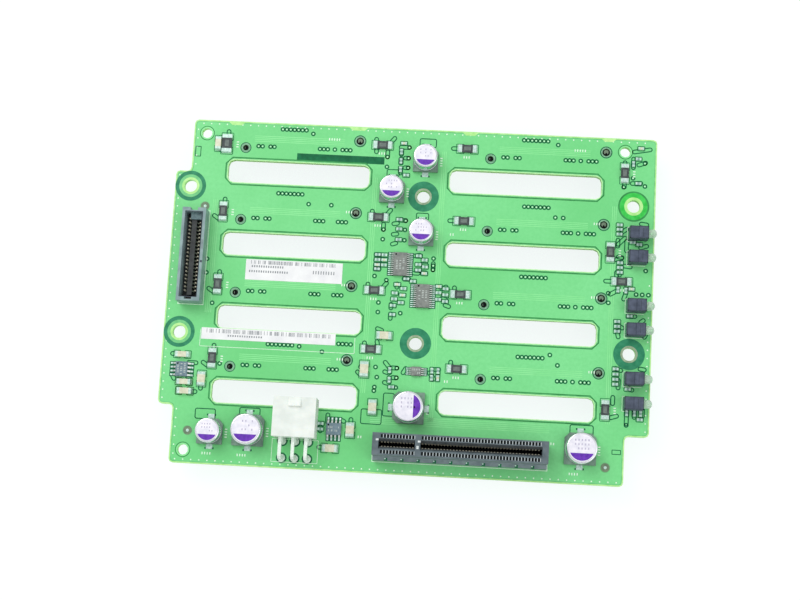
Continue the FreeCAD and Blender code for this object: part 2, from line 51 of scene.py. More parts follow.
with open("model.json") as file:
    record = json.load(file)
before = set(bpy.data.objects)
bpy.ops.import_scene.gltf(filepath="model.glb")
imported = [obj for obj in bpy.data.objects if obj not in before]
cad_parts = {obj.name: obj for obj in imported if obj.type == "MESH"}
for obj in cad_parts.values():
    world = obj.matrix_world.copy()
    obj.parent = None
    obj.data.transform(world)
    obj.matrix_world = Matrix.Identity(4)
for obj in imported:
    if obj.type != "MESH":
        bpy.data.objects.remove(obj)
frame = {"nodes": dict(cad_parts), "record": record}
cad_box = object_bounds()
nodes = frame["nodes"]
board_low, board_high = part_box("circuit_board")
board_length = (board_high.x - board_low.x) / MM
board_depth = (board_high.y - board_low.y) / MM
board_thickness = (board_high.z - board_low.z) / MM


# ======== places
def place(x, y, height=0.0):
    """The point of the row frame at x, y on the board and a height above its cable side."""
    return Vector((board_low.x + x * MM, board_low.y + y * MM, board_high.z + height * MM))


def in_board(point):
    """A point of the row frame as x, y and height in millimetres."""
    x, y, z = point
    return Vector(((x - board_low.x) / MM, (y - board_low.y) / MM, (z - board_high.z) / MM))


class Box:
    """The box of one solid, in millimetres on the board."""

    def __init__(self, low, high):
        self.low, self.high = in_board(low), in_board(high)
        self.middle = (self.low + self.high) / 2
        self.x, self.y, self.z = self.middle
        self.size = self.high - self.low


def node_box(node):
    return Box(*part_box(node))


def without_number(name):
    return name.rstrip("0123456789")


def numbered(name):
    """The boxes of the CAD nodes that have this name and a number."""
    return [node_box(node) for node in sorted(nodes) if without_number(node) == name]


def solid_boxes(node):
    """The box of each separate solid of a CAD node."""
    mesh = nodes[node].data
    spots = [tuple(round(c / MM, 3) for c in v.co) for v in mesh.vertices]
    solids = {spot: {spot} for spot in spots}
    for polygon in mesh.polygons:
        joined = set().union(*(solids[spots[i]] for i in polygon.vertices))
        solids.update(dict.fromkeys(joined, joined))
    boxes = []
    for solid in {id(group): group for group in solids.values()}.values():
        low, high = (Vector([end(values) * MM for values in zip(*solid)]) for end in (min, max))
        boxes.append(Box(low, high))
    return boxes


PEG_FROM_CONNECTOR = (2.6, 1.2)      # small peg from the lower left corner of its connector
PEG_SPAN = (38.35, 4.0)              # large peg from the small one
ROWS = 4


def bay_pegs():
    """The place of the small peg of each bay: column, row, x, y."""
    dx, dy = PEG_FROM_CONNECTOR
    for index, box in enumerate(numbered("drive_connector_")):
        yield index // ROWS, index % ROWS, box.low.x + dx, box.low.y + dy


# ======== finishes
FINISHES = {}
EVEN = (1, 1, 1)
BLACK, DARK_GREY = (0, 0, 0, 1), (0.28, 0.28, 0.28, 1)


def srgb(red, green, blue):
    """Linear colour from the 0 to 255 values that it should show as."""
    values = []
    for value in (red, green, blue):
        value /= 255
        values.append(value / 12.92 if value <= 0.04045 else ((value + 0.055) / 1.055) ** 2.4)
    return (*values, 1.0)


class Nodes:
    """A node tree whose nodes are joined as they are added."""

    def __init__(self, tree):
        self.tree = tree

    def feed(self, value, socket):
        """Joins another node's output to a socket, or sets the socket to a value."""
        if isinstance(value, bpy.types.NodeSocket):
            self.tree.links.new(value, socket)
        else:
            socket.default_value = value

    def add(self, kind, feeds=(), **settings):
        """A node with its settings made and its sockets fed."""
        node = self.tree.nodes.new(kind)
        for key, value in settings.items():
            setattr(node, key, value)
        for socket, value in dict(feeds).items():
            self.feed(value, node.inputs[socket])
        return node

    def maths(self, operation, *values):
        """The result of an operation on outputs and numbers."""
        node = self.add("ShaderNodeMath", enumerate(values), operation=operation)
        return node.outputs["Value"]


class Finish(Nodes):
    """A material with variation in colour, roughness and relief, kept in FINISHES under its name."""

    def __init__(self, name, roughness=0.5, metallic=0.0, coat=0.0, specular=0.5, **sockets):
        material = bpy.data.materials.new(name)
        material.use_nodes = True
        FINISHES[name] = material
        super().__init__(material.node_tree)
        self.shader = self.tree.nodes["Principled BSDF"]
        sockets.update(Roughness=roughness, Metallic=metallic, Coat_Weight=coat, Specular_IOR_Level=specular)
        for socket, value in sockets.items():
            self.surface(socket.replace("_", " "), value)
        self.place = self.add("ShaderNodeTexCoord").outputs["Object"]

    def surface(self, socket, value):
        self.feed(value, self.shader.inputs[socket])

    def noise(self, size, detail=3.0, stretch=EVEN):
        """Cloudy variation whose lumps are about size millimetres across."""
        mapping = self.add("ShaderNodeMapping", {"Scale": stretch, "Vector": self.place})
        feeds = {"Scale": 1 / (size * MM), "Detail": detail, "Vector": mapping.outputs["Vector"]}
        return self.add("ShaderNodeTexNoise", feeds).outputs["Fac"]

    def ramp(self, source, low, high, at=(0.35, 0.65)):
        """Turns a value into a colour between low and high."""
        ramp = self.add("ShaderNodeValToRGB", {"Fac": source})
        for element, position, colour in zip(ramp.color_ramp.elements, at, (low, high)):
            element.position = position
            element.color = colour
        return ramp.outputs["Color"]

    def mix(self, factor, first, second):
        """The colour between two others."""
        mix = self.add("ShaderNodeMix", {"Factor": factor, "A": first, "B": second}, data_type="RGBA")
        return mix.outputs["Result"]

    def tones(self, low, high, size, detail=3.0, stretch=EVEN, **places):
        """A colour that drifts between two tones of 0 to 255."""
        return self.ramp(self.noise(size, detail, stretch), srgb(*low), srgb(*high), **places)

    def sheen_spread(self, low, high, size):
        """Roughness that drifts between two values."""
        feeds = {"Value": self.noise(size, 4.0), "To Min": low, "To Max": high}
        self.surface("Roughness", self.add("ShaderNodeMapRange", feeds).outputs["Result"])

    def relief(self, source, depth, strength):
        """Bump of a depth in millimetres."""
        bump = self.add("ShaderNodeBump", {"Height": source, "Distance": depth * MM, "Strength": strength})
        self.surface("Normal", bump.outputs["Normal"])


def solder_mask():
    """Green mask over a glass weave on both faces, and bare yellow-green laminate on the edges."""
    finish = Finish("mask", coat=0.25, specular=0.4)
    clouds = finish.tones((104, 206, 122), (125, 222, 144), 38, at=(0.3, 0.7))
    fine = finish.ramp(finish.noise(1.1, 5.0), BLACK, DARK_GREY)
    mask = finish.mix(fine, clouds, srgb(96, 200, 118))
    laminate = finish.tones((168, 236, 132), (202, 248, 168), 0.5, 2, (1, 1, 9))
    geometry = finish.add("ShaderNodeNewGeometry")
    normal = finish.add("ShaderNodeSeparateXYZ", {"Vector": geometry.outputs["True Normal"]})
    flat = finish.maths("ABSOLUTE", normal.outputs["Z"])
    finish.surface("Base Color", finish.mix(flat, laminate, mask))
    finish.sheen_spread(0.32, 0.5, 6)
    feeds = {"Scale": 1 / (1.4 * MM), "Mortar Size": 0.08, "Vector": finish.place}
    finish.relief(finish.add("ShaderNodeTexBrick", feeds).outputs["Fac"], 0.012, 0.25)


def tinted(name, low, high, size, spread, grain=0.02, grain_size=0.25, **sockets):
    """A plain finish: a little variation in tone, sheen and grain."""
    finish = Finish(name, **sockets)
    finish.surface("Base Color", finish.tones(low, high, size))
    finish.sheen_spread(*spread, size)
    finish.relief(finish.noise(grain_size), grain, 0.4)


def brushed(name, low, high, size=0.6, spread=(0.22, 0.42)):
    """Bare metal with fine drawn lines."""
    finish = Finish(name, metallic=1.0)
    drawn = (1, 8, 1)
    finish.surface("Base Color", finish.tones(low, high, size, 4.0, drawn))
    finish.sheen_spread(*spread, 1.5)
    finish.relief(finish.noise(0.3, 3.0, drawn), 0.01, 0.3)


def paper():
    """Matte white label with faint fibres."""
    finish = Finish("paper", roughness=0.7, specular=0.3)
    finish.surface("Base Color", finish.tones((228, 230, 232), (240, 242, 242), 5))
    finish.relief(finish.noise(0.15, 4.0), 0.006, 0.5)


def clear_plastic():
    """Faintly green lens, partly see-through."""
    finish = Finish("lens", coat=0.5, IOR=1.45, Transmission_Weight=0.45)
    finish.surface("Base Color", finish.tones((196, 230, 202), (222, 244, 226), 1.2))
    finish.sheen_spread(0.06, 0.16, 1.0)


def sideband_moulding():
    """Blue-grey outer walls and a near black cavity, whose darkness is painted shade, told apart by the
    distance from the middle.
    """
    finish = Finish("side_grey", specular=0.4)
    low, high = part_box("sideband_receptacle")
    middle = (low + high) / 2
    across = finish.add("ShaderNodeSeparateXYZ", {"Vector": finish.place})
    tests = []
    for axis, centre, reach in (("X", middle.x, 2.78 * MM), ("Y", middle.y, 14.2 * MM)):
        away = finish.maths("ABSOLUTE", finish.maths("SUBTRACT", across.outputs[axis], centre))
        tests.append(finish.maths("GREATER_THAN", away, reach))
    walls = finish.tones((118, 142, 144), (142, 166, 166), 3.0)
    # Painted shade: the inside of the moulding is drawn near black for the shade in it
    cavity_shade = finish.tones((26, 32, 34), (50, 56, 56), 1.5)
    finish.surface("Base Color", finish.mix(finish.maths("MAXIMUM", *tests), cavity_shade, walls))
    finish.sheen_spread(0.35, 0.5, 3.0)
    finish.relief(finish.noise(0.25), 0.02, 0.4)


# Name, two tones, size of the clouds in mm, spread of the roughness; then depth and size of the grain
solder_mask()
tinted("dark_mask", (4, 92, 56), (18, 112, 70), 2.0, (0.45, 0.6), specular=0.2)
tinted("teal", (26, 122, 84), (48, 142, 102), 2.0, (0.4, 0.55), specular=0.3)
tinted("border_green", (34, 128, 62), (56, 150, 80), 3.0, (0.45, 0.6), specular=0.3)
tinted("mid_mask", (92, 186, 112), (116, 206, 134), 2.0, (0.35, 0.5))
tinted("bright_mask", (40, 184, 62), (68, 208, 88), 2.0, (0.4, 0.55), specular=0.3)
tinted("lime", (160, 226, 128), (190, 240, 156), 2.0, (0.4, 0.55))
tinted("track", (126, 222, 140), (140, 230, 152), 4.0, (0.3, 0.42))
tinted("laminate", (172, 238, 156), (200, 248, 182), 1.0, (0.5, 0.65))
tinted("pad_green", (96, 150, 114), (130, 184, 148), 0.8, (0.35, 0.5))
# Painted light: the highlights and lit domes on the peg tips
tinted("peg_grey", (82, 104, 84), (112, 132, 108), 0.5, (0.4, 0.55))
tinted("beige_ring", (128, 152, 120), (160, 182, 148), 1.2, (0.4, 0.55))
tinted("fiducial", (96, 122, 94), (120, 140, 110), 0.8, (0.4, 0.6))
tinted("print", (206, 242, 212), (236, 252, 236), 0.6, (0.6, 0.8))
brushed("tin", (206, 216, 212), (240, 244, 240))
tinted("solder", (168, 204, 192), (212, 236, 226), 0.5, (0.25, 0.45), 0.05, metallic=0.15)
tinted("pin_metal", (216, 232, 220), (240, 250, 242), 0.5, (0.25, 0.4), metallic=0.1)
brushed("gold", (138, 134, 118), (190, 186, 166))
tinted("tip", (176, 172, 148), (214, 210, 188), 0.5, (0.3, 0.45), metallic=0.1)
# Painted highlight, for the ribs and chamfers of the card slot
tinted("highlight", (196, 206, 206), (222, 230, 228), 0.5, (0.2, 0.35))
# Painted shade, for the bevels of the card slot's mouth
tinted("bevel_shade", (44, 50, 52), (66, 72, 74), 1.0, (0.35, 0.5))
tinted("key_block", (70, 98, 104), (98, 128, 130), 0.8, (0.35, 0.5))
brushed("can_metal", (214, 218, 226), (246, 248, 252), 0.8, (0.18, 0.32))
tinted("can_top", (224, 224, 236), (242, 240, 248), 1.6, (0.3, 0.45), metallic=0.1)
tinted("violet", (82, 22, 158), (108, 42, 184), 1.0, (0.35, 0.5))
tinted("can_ink", (176, 172, 196), (200, 196, 216), 0.5, (0.4, 0.6))
tinted("slot_grey", (76, 90, 96), (98, 112, 118), 3.0, (0.35, 0.5))
tinted("slot_shelf", (100, 118, 122), (122, 140, 142), 2.0, (0.4, 0.55))
sideband_moulding()
tinted("socket_black", (38, 46, 52), (60, 70, 76), 3.0, (0.35, 0.5))
tinted("moulding_black", (94, 124, 108), (120, 150, 132), 2.0, (0.45, 0.6))
tinted("lamp_black", (54, 64, 82), (76, 86, 106), 2.0, (0.4, 0.55))
tinted("lamp_rim", (40, 50, 64), (56, 66, 80), 1.0, (0.4, 0.55))
tinted("nylon", (220, 228, 222), (234, 240, 234), 4.0, (0.35, 0.5), Subsurface_Weight=0.1,
       Subsurface_Radius=(0.001, 0.0008, 0.0006))
tinted("chip", (112, 118, 114), (134, 140, 134), 1.0, (0.5, 0.7), 0.03, 0.12)
tinted("chip_blue", (98, 120, 132), (120, 142, 152), 1.0, (0.5, 0.7), 0.03, 0.12)
tinted("chip_ink", (176, 188, 182), (204, 214, 208), 0.4, (0.5, 0.7))
tinted("fuse", (42, 50, 52), (66, 76, 76), 1.2, (0.45, 0.65))
tinted("fuse_top", (88, 100, 96), (108, 120, 114), 0.8, (0.45, 0.65))
tinted("small_body", (122, 160, 150), (148, 184, 174), 0.5, (0.4, 0.6))
tinted("ceramic", (202, 204, 176), (222, 222, 198), 1.0, (0.3, 0.5))
paper()
tinted("ink", (120, 126, 130), (152, 158, 162), 0.4, (0.5, 0.7))
clear_plastic()
# Painted shade, for the card slot's windows and mouth, the peg tips and the chip dimples
tinted("shade", (6, 9, 10), (16, 20, 21), 1.0, (0.7, 0.9), specular=0.1)

# The finish of each CAD node, whose number is left out here; the other chips have the plain one
NODE_FINISHES = {
    "circuit_board": "mask",
    "card_edge_slot": "slot_grey",
    "sideband_receptacle": "side_grey",
    "sideband_contacts": "gold",
    "power_header": "nylon",
    "power_pins": "pin_metal",
    "capacitor_leads": "solder",
    "status_lamp_lenses": "lens",
    "chip_leads": "tin",
    "fuse_bodies": "fuse",
    "fuse_terminals": "solder",
    "ceramic_capacitors": "ceramic",
    "ceramic_terminals": "solder",
    "regulator_chip": "chip_blue",
    "memory_chip": "chip_blue",
    "wide_label": "paper",
    "narrow_label": "paper",
    "drive_connector_": "socket_black",
    "drive_contacts_": "gold",
    "capacitor_can_": "can_metal",
    "capacitor_base_": "moulding_black",
    "status_lamp_": "lamp_black",
}


def dress_nodes():
    """Gives every CAD node its finish."""
    for name, node in nodes.items():
        finish = NODE_FINISHES.get(without_number(name), "chip")
        node.data.materials.clear()
        node.data.materials.append(FINISHES[finish])


# ======== shapes
def arc(x, y, radius, start, turn, steps):
    """Points on an arc about x, y, from a start angle through a turn."""
    angles = [start + turn * i / steps for i in range(steps + 1)]
    return [(x + radius * math.cos(a), y + radius * math.sin(a)) for a in angles]


def circle(x, y, radius, sides=32):
    return arc(x, y, radius, 0, 2 * math.pi, sides)[:-1]


def rectangle(x, y, length, width, corner=0.0, steps=4):
    """Outline of a rectangle round x, y, with corners turned in a few steps."""
    if corner <= 0:
        half, up = length / 2, width / 2
        return [(x - half, y - up), (x + half, y - up), (x + half, y + up), (x - half, y + up)]
    points = []
    for start, sx, sy in ((180, -1, -1), (270, 1, -1), (0, 1, 1), (90, -1, 1)):
        cx, cy = x + sx * (length / 2 - corner), y + sy * (width / 2 - corner)
        points += arc(cx, cy, corner, math.radians(start), math.pi / 2, steps)
    return points


def lie(along, across, upright):
    """Two measures as x and y: along the depth of the board if upright, else along its length."""
    return (across, along) if upright else (along, across)


def skin(height, rise):
    """From a little inside a face, at a height, to a rise above it."""
    return height - 0.02, height + rise


def put(name, data):
    """A new object in the scene."""
    thing = bpy.data.objects.new(name, data)
    bpy.context.scene.collection.objects.link(thing)
    return thing


PIECES = []


class Piece:
    """Collects shapes, in millimetres on the board, that become one mesh at the end."""

    def __init__(self, name, finish, slot="board", smooth=False, replaces=()):
        self.name, self.finish, self.slot = name, finish, slot
        self.smooth, self.replaces = smooth, replaces
        self.points, self.faces = [], []
        PIECES.append(self)

    def loft(self, rings, around=False):
        """Joins rings of as many points: with a cap at either end, or from the last to the first again."""
        count = len(rings[0])
        starts = [k * count for k in range(len(rings))]
        faces = []
        for low, high in zip(starts, starts[1:] + starts[:1] * around):
            for i in range(count):
                j = (i + 1) % count
                faces.append([low + i, low + j, high + j, high + i])
        if not around:
            faces += [list(range(count))[::-1], [starts[-1] + i for i in range(count)]]
        first = len(self.points)
        self.points += [point for ring in rings for point in ring]
        self.faces += [[first + i for i in face] for face in faces]

    def prism(self, outline, low, high):
        """A plate over an outline, from one height to another."""
        self.loft([[(x, y, z) for x, y in outline] for z in (low, high)])

    def band(self, outer, inner, low, high):
        """A plate between two outlines with as many points."""
        rings = (outer, low), (outer, high), (inner, high), (inner, low)
        self.loft([[(x, y, z) for x, y in ring] for ring, z in rings], True)

    def ring(self, x, y, inner, outer, low, high, sides=32):
        self.band(circle(x, y, outer, sides), circle(x, y, inner, sides), low, high)

    def border(self, x, y, length, width, line, layer, corners=(0, 0)):
        """A rectangular frame of an outer length and width, with its outer and inner corners turned."""
        outer = rectangle(x, y, length, width, corners[0])
        self.band(outer, rectangle(x, y, length - 2 * line, width - 2 * line, corners[1]), *layer)

    def disc(self, x, y, radius, low, high, sides=24):
        self.prism(circle(x, y, radius, sides), low, high)

    def block(self, x, y, length, width, low, high):
        self.prism(rectangle(x, y, length, width), low, high)

    def path(self, points, width, low, high):
        """Straight strips from place to place."""
        for (ax, ay), (bx, by) in zip(points, points[1:]):
            length = math.hypot(bx - ax, by - ay)
            dx, dy = (bx - ax) / length * width / 2, (by - ay) / length * width / 2
            outline = [
                (ax - dx + dy, ay - dy - dx),
                (bx + dx + dy, by + dy - dx),
                (bx + dx - dy, by + dy + dx),
                (ax - dx - dy, ay - dy + dx),
            ]
            self.prism(outline, low, high)

    def lathe(self, first, second, profile, sides=64, lying=False):
        """Turns a profile of (radius, reach) about an upright axis at x, y, or a lying one at y, z."""
        rings = []
        for radius, reach in profile:
            turned = circle(first, second, radius, sides)
            rings.append([(reach, p, q) if lying else (p, q, reach) for p, q in turned])
        self.loft(rings)

    def make(self):
        """Makes the mesh, in the row frame, riding on the board's body."""
        mesh = bpy.data.meshes.new(self.name)
        mesh.from_pydata([place(*p) for p in self.points], [], self.faces)
        mesh.materials.append(FINISHES[self.finish])
        piece = put(self.name, mesh)
        if self.smooth:
            mesh.shade_smooth()
            mesh.set_sharp_from_angle(angle=math.radians(35))
        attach(piece, "root")
        if self.replaces:
            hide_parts(*self.replaces)


# Thin layers on the cable side, each a little above the one below
TRACK = (0.0, 0.010)
FIELD = (0.0, 0.016)
SPOT = (0.0, 0.020)
BORDER = (0.0, 0.022)
TAB = (0.0, 0.026)
RING = (0.0, 0.030)
RIM = (0.0, 0.036)
PRINT = (0.0, 0.042)
PAD = (0.0, 0.050)


# ======== outlines taken from the board
def board_loops():
    """Outlines of the cable side face of the board, the outer one first, each turning to the left."""
    mesh = nodes["circuit_board"].data
    spots = [tuple(round(c, 3) for c in in_board(v.co)) for v in mesh.vertices]
    edges = {}
    for polygon in mesh.polygons:
        ring = [spots[i] for i in polygon.vertices]
        if all(abs(p[2]) < 0.01 for p in ring):
            for start, end in zip(ring, ring[1:] + ring[:1]):
                edges[(start[:2], end[:2])] = True
    following = {start: end for start, end in edges if (end, start) not in edges}
    loops = []
    while following:
        start, here = following.popitem()
        loop = [start]
        while here != loop[0]:
            loop.append(here)
            here = following.pop(here)
        loops.append(straightened(loop))
    return sorted(loops, key=lambda loop: -abs(area(loop)))


def area(loop):
    return sum(a[0] * b[1] - b[0] * a[1] for a, b in zip(loop, loop[1:] + loop[:1])) / 2


def corners(loop):
    """Each point of a loop between its neighbours."""
    return zip(loop[-1:] + loop[:-1], loop, loop[1:] + loop[:1])


def straightened(loop):
    """The loop without the points that lie along its straight sides."""
    kept = []
    for (ax, ay), (bx, by), (cx, cy) in corners(loop):
        if abs((bx - ax) * (cy - by) - (by - ay) * (cx - bx)) > 1e-4:
            kept.append((bx, by))
    return kept


def moved_out(loop, distance):
    """The loop with every side moved away from its inside by a distance."""
    if area(loop) < 0:
        loop = loop[::-1]
    moved = []
    for (ax, ay), (bx, by), (cx, cy) in corners(loop):
        first = Vector((by - ay, ax - bx)).normalized()
        second = Vector((cy - by, bx - cx)).normalized()
        middle = (first + second).normalized()
        reach = distance / middle.dot(first)
        moved.append((bx + middle.x * reach, by + middle.y * reach))
    return moved


def extent(loop):
    """The middle, the length and the width of a loop."""
    (low_x, high_x), (low_y, high_y) = ((min(values), max(values)) for values in zip(*loop))
    return (low_x + high_x) / 2, (low_y + high_y) / 2, high_x - low_x, high_y - low_y


OUTLINE, *HOLES = board_loops()
SHORTEST_SLOT = 20
SLOT_LOOPS = [loop for loop in HOLES if extent(loop)[2] > SHORTEST_SLOT]
SLOT_LINE_AWAY = 1.55                # the dark line is this much longer and wider than its slot


def slot_borders():
    """A pale bevel at the edge of each slot, inside a darker line with its corners cut off."""
    bare = Piece("slot_pale_edges", "laminate")
    bevel = Piece("slot_green_edges", "mid_mask")
    dark = Piece("slot_dark_borders", "border_green")
    for loop in SLOT_LOOPS:
        edge, middle, outer = (moved_out(loop, reach) for reach in (0.0, 0.28, 0.6))
        bare.band(middle, edge, *BORDER)
        bevel.band(outer, middle, *BORDER)
        x, y, length, width = extent(loop)
        line = rectangle(x, y, length + SLOT_LINE_AWAY, width + SLOT_LINE_AWAY, 2.1, 1)
        dark.band(moved_out(line, 0.22), moved_out(line, -0.2), *RING)


TAB_SPANS = ((16.2, 22.4), (56.9, 63.9), (95.0, 101.0), (141.4, 147.1))
TAB_DEPTH, TAB_CORNER = 1.3, 1.5


def edge_rim():
    """The bright routed edge, the darker line inside it and the break-off tabs along the upper edge."""
    lime = Piece("edge_lime_rim", "lime")
    line = Piece("edge_inner_line", "mid_mask")
    edge, middle, inner = (moved_out(OUTLINE, -inset) for inset in (0.02, 0.42, 0.72))
    lime.band(edge, middle, *BORDER)
    line.band(middle, inner, *BORDER)
    top = board_depth - 0.05
    foot = top - TAB_DEPTH
    for start, end in TAB_SPANS:
        lime.prism([(start, top), (start + TAB_CORNER, foot), (end - TAB_CORNER, foot), (end, top)], *TAB)


# ======== round holes
MOUNT_HOLE_RADIUS = frame["record"]["mounts"][0]["dims"]["hole_r_mm"]
TOOLING_HOLE_RADIUS = 1.75
# Rings round the holes: finish and outer radius, from the hole outwards
LEFT_RINGS = [("lime", 2.9), ("mid_mask", 3.9), ("teal", 5.15)]
MIDDLE_RINGS = [("beige_ring", 2.8), ("teal", 5.15)]
UPPER_RIGHT_RINGS = [("lime", 3.1), ("bright_mask", 4.6), ("border_green", 5.15)]
TOOLING_RINGS = [("track", 2.2), ("border_green", 2.5)]


def hole_middles(radius):
    """Middles of the round holes of a radius through the board."""
    for loop in HOLES:
        x, y, _, width = extent(loop)
        if abs(width - 2 * radius) < 0.05:
            yield x, y


def hole_rings(radius, x, y):
    """The rings round the hole of a radius at x, y."""
    if radius == TOOLING_HOLE_RADIUS:
        return TOOLING_RINGS
    if x < board_length / 4:
        return LEFT_RINGS
    if x > board_length * 3 / 4 and y > board_depth / 2:
        return UPPER_RIGHT_RINGS
    return MIDDLE_RINGS


def hole_rims():
    """Rings from the bare rim to the mask round the mounting holes, thin ones round the tooling holes."""
    pieces = {}
    for finish in ("border_green", "teal", "mid_mask", "bright_mask", "lime", "beige_ring", "track"):
        pieces[finish] = Piece("hole_rings_" + finish, finish)
    for radius, sides in ((MOUNT_HOLE_RADIUS, 48), (TOOLING_HOLE_RADIUS, 32)):
        for x, y in hole_middles(radius):
            inner = radius
            for finish, outer in hole_rings(radius, x, y):
                pieces[finish].ring(x, y, inner, outer, *RING, sides)
                inner = outer


# Inner and outer radius of the plated ring and outer radius of its dark border
SMALL_PEG_RINGS, LARGE_PEG_RINGS = (0.98, 1.6, 1.85), (1.28, 1.72, 2.05)
# Heights of the dark sheets of painted shade over the peg tips, of the painted highlights and lit domes, and
# of the wedges of painted shade
PEG_SHADE, PEG_GLINT, PEG_WEDGE = (-0.32, -0.2), (-0.22, -0.17), (-0.19, -0.14)


def peg_holes():
    """Plated rings over the peg holes, and painted light and shade on the tips of the pegs: a dark sheet of
    painted shade over each tip, a painted highlight on the small ones, and on the large ones a grey disc of
    painted light with a wedge of painted shade, which draw a lit dome.
    """
    pads = Piece("peg_hole_rings", "pad_green", "tin")
    dark = Piece("peg_hole_borders", "dark_mask")
    # Painted shade: dark sheets over the peg tips, and dark wedges on the large ones
    tips = Piece("peg_tip_shade", "shade", "connector_black")
    glints = Piece("peg_tip_glints", "peg_grey", "connector_black")
    dx, dy = PEG_SPAN
    for _, _, x, y in bay_pegs():
        large_x, large_y = x + dx, y + dy
        for px, py, rings in ((x, y, SMALL_PEG_RINGS), (large_x, large_y, LARGE_PEG_RINGS)):
            inner, middle, outer = rings
            pads.ring(px, py, inner, middle, *RIM)
            dark.ring(px, py, middle, outer, *RING)
            tips.disc(px, py, inner - 0.12, *PEG_SHADE)
        # Painted highlight on each small tip, and a grey disc of painted light for the lit dome of each
        # large one
        glints.block(x - 0.3, y, 0.16, 0.7, *PEG_GLINT)
        glints.disc(large_x, large_y + 0.12, 0.82, *PEG_GLINT)
        foot = large_y - 0.75
        tips.prism([(large_x - 0.55, foot), (large_x + 0.55, foot), (large_x, large_y + 0.1)], *PEG_WEDGE)


FIDUCIALS = [(10.55, 85.7), (10.5, 10.7), (146.6, 5.9)]


def fiducials():
    """Alignment marks: a bright dot in a brown ring with a green border."""
    brown = Piece("fiducial_rings", "fiducial")
    line = Piece("fiducial_borders", "mid_mask")
    bright = Piece("fiducial_dots", "solder", "tin")
    for x, y in FIDUCIALS:
        brown.ring(x, y, 0.5, 1.45, *RING)
        line.ring(x, y, 1.45, 1.65, *RING)
        bright.disc(x, y, 0.5, *PAD)


# ======== vias
# From the small peg: first of seven vias in a row, by column and row of the bay; and the other vias
SEVEN_START = ((12.05, 12.05, 12.05, 12.05), (10.9, 11.9, 11.9, 11.9))
SEVEN_RISE = ((6.9, 9.5, 9.9, 8.0), (6.9, 8.9, 9.9, 8.0))
SEVEN_PITCH = 1.33
BAY_VIAS = (4.25, 5.6, 8.3, 9.6, 25.0, 26.3, 27.6, 32.6, 33.9, 35.2)
EXTRA_VIA, VIA_RISE = 30.0, 0.7
LONE_VIAS = [
    (45.2, 112.2), (45.2, 88), (52.8, 88), (127.4, 112.2), (127.4, 87.4), (130, 87.4), (127.4, 41.5),
    (130, 38.2), (45.2, 40.1), (52.8, 38.7), (70.6, 105.4), (70.6, 102), (77.7, 105.3), (77.7, 102),
    (77.8, 109), (70.7, 80.6), (70.6, 77.3), (77.9, 83.9), (77.8, 80.8), (77.8, 77.3), (68.6, 64.8),
    (72.6, 63.6), (70.4, 56), (70.4, 52.8), (77.8, 52.8), (70.7, 34.6), (71.3, 31.3), (70.7, 28),
    (77.7, 34.6), (77.7, 31.4), (77.7, 28.2), (12.6, 67.8), (15.4, 53.1), (19.4, 33.1), (157.7, 70.9),
    (145.7, 62.9), (145.8, 59.7), (154.8, 62.9), (156.8, 62.9), (158.8, 62.9), (58.1, 41.6), (59.4, 41.6),
    (60.7, 41.6), (62.1, 41.6), (87.8, 71.6), (87.8, 69.2), (87.8, 67.8), (156.4, 107.2), (152.6, 102),
    (156.6, 99.4), (152.9, 19.9), (12.7, 63.2), (149.6, 98.8), (70.6, 26.8),
]


def via_places():
    """The x, y of every via."""
    yield from LONE_VIAS
    for column, row, x, y in bay_pegs():
        for dx in BAY_VIAS:
            yield x + dx, y + VIA_RISE
        if (column, row) != (0, 2):
            for i in range(7):
                yield x + SEVEN_START[column][row] + i * SEVEN_PITCH, y + SEVEN_RISE[column][row]
        if column or row == 0:
            yield x + EXTRA_VIA, y + VIA_RISE


def vias():
    """A dark ring and a pale centre for each via."""
    dark = Piece("via_rings", "dark_mask")
    centres = Piece("via_centres", "print")
    for x, y in via_places():
        dark.ring(x, y, 0.38, 0.8, *RING, 20)
        centres.disc(x, y, 0.2, *SPOT, 10)


def stitching():
    """Small pale spots that follow the edge of the board."""
    piece = Piece("stitching_spots", "print")
    inset, pitch, radius = 1.25, 2.62, 0.24
    runs = [
        ((8.0, board_depth - inset), (board_length - 4.0, board_depth - inset)),
        ((7.0, inset), (board_length - 10.0, inset)),
        ((inset, 21.0), (inset, 96.0)),
        ((6.3, 97.0), (6.3, 112.0)),
        ((6.3, 3.0), (6.3, 17.5)),
        ((board_length - inset, 18.0), (board_length - inset, 66.0)),
    ]
    for (ax, ay), (bx, by) in runs:
        count = int(math.hypot(bx - ax, by - ay) / pitch)
        for i in range(count + 1):
            share = i / count
            piece.disc(ax + (bx - ax) * share, ay + (by - ay) * share, radius, *SPOT, 8)


# ======== tracks
TRACK_PITCH, TRACK_WIDTH = 0.62, 0.26
# Routes outside the bays: from, to, number of tracks
ROUTES = [
    ((67.0, 98.0), (67.0, 26.0), 3), ((89.6, 108.0), (89.6, 18.0), 3), ((146.8, 92.0), (146.8, 20.0), 3),
    ((14.2, 88.0), (14.2, 50.0), 4), ((70.0, 17.4), (128.0, 17.4), 5),
]


def tracks():
    """Bundles of parallel copper tracks, along each bay and on the strips between the bays."""
    piece = Piece("copper_tracks", "track")
    bays = [((x + 3, y + 3.3), (x + 33, y + 3.3), 4) for _, _, x, y in bay_pegs()]
    for start, end, count in bays + ROUTES:
        along = (Vector(end) - Vector(start)).normalized()
        for i in range(count):
            shift = (i - (count - 1) / 2) * TRACK_PITCH
            route = [(x - along.y * shift, y + along.x * shift) for x, y in (start, end)]
            piece.path(route, TRACK_WIDTH, *TRACK)


# ======== capacitors
SHELL_GAP = 0.02                     # the shell stays inside the CAD can by this
CRIMP_RISE = 1.1                     # middle of the groove above the base
CRIMP_HALF, CRIMP_DEPTH = 0.35, 0.45
SHOULDER = 0.5
TURN_STEPS = 6
MARK_START, MARK_END = 0.34, 0.82    # the coloured field, in shares of the radius
MARK_STEPS = 20
MARK_TO_RIGHT = 4                    # the can whose field points to the right, not down


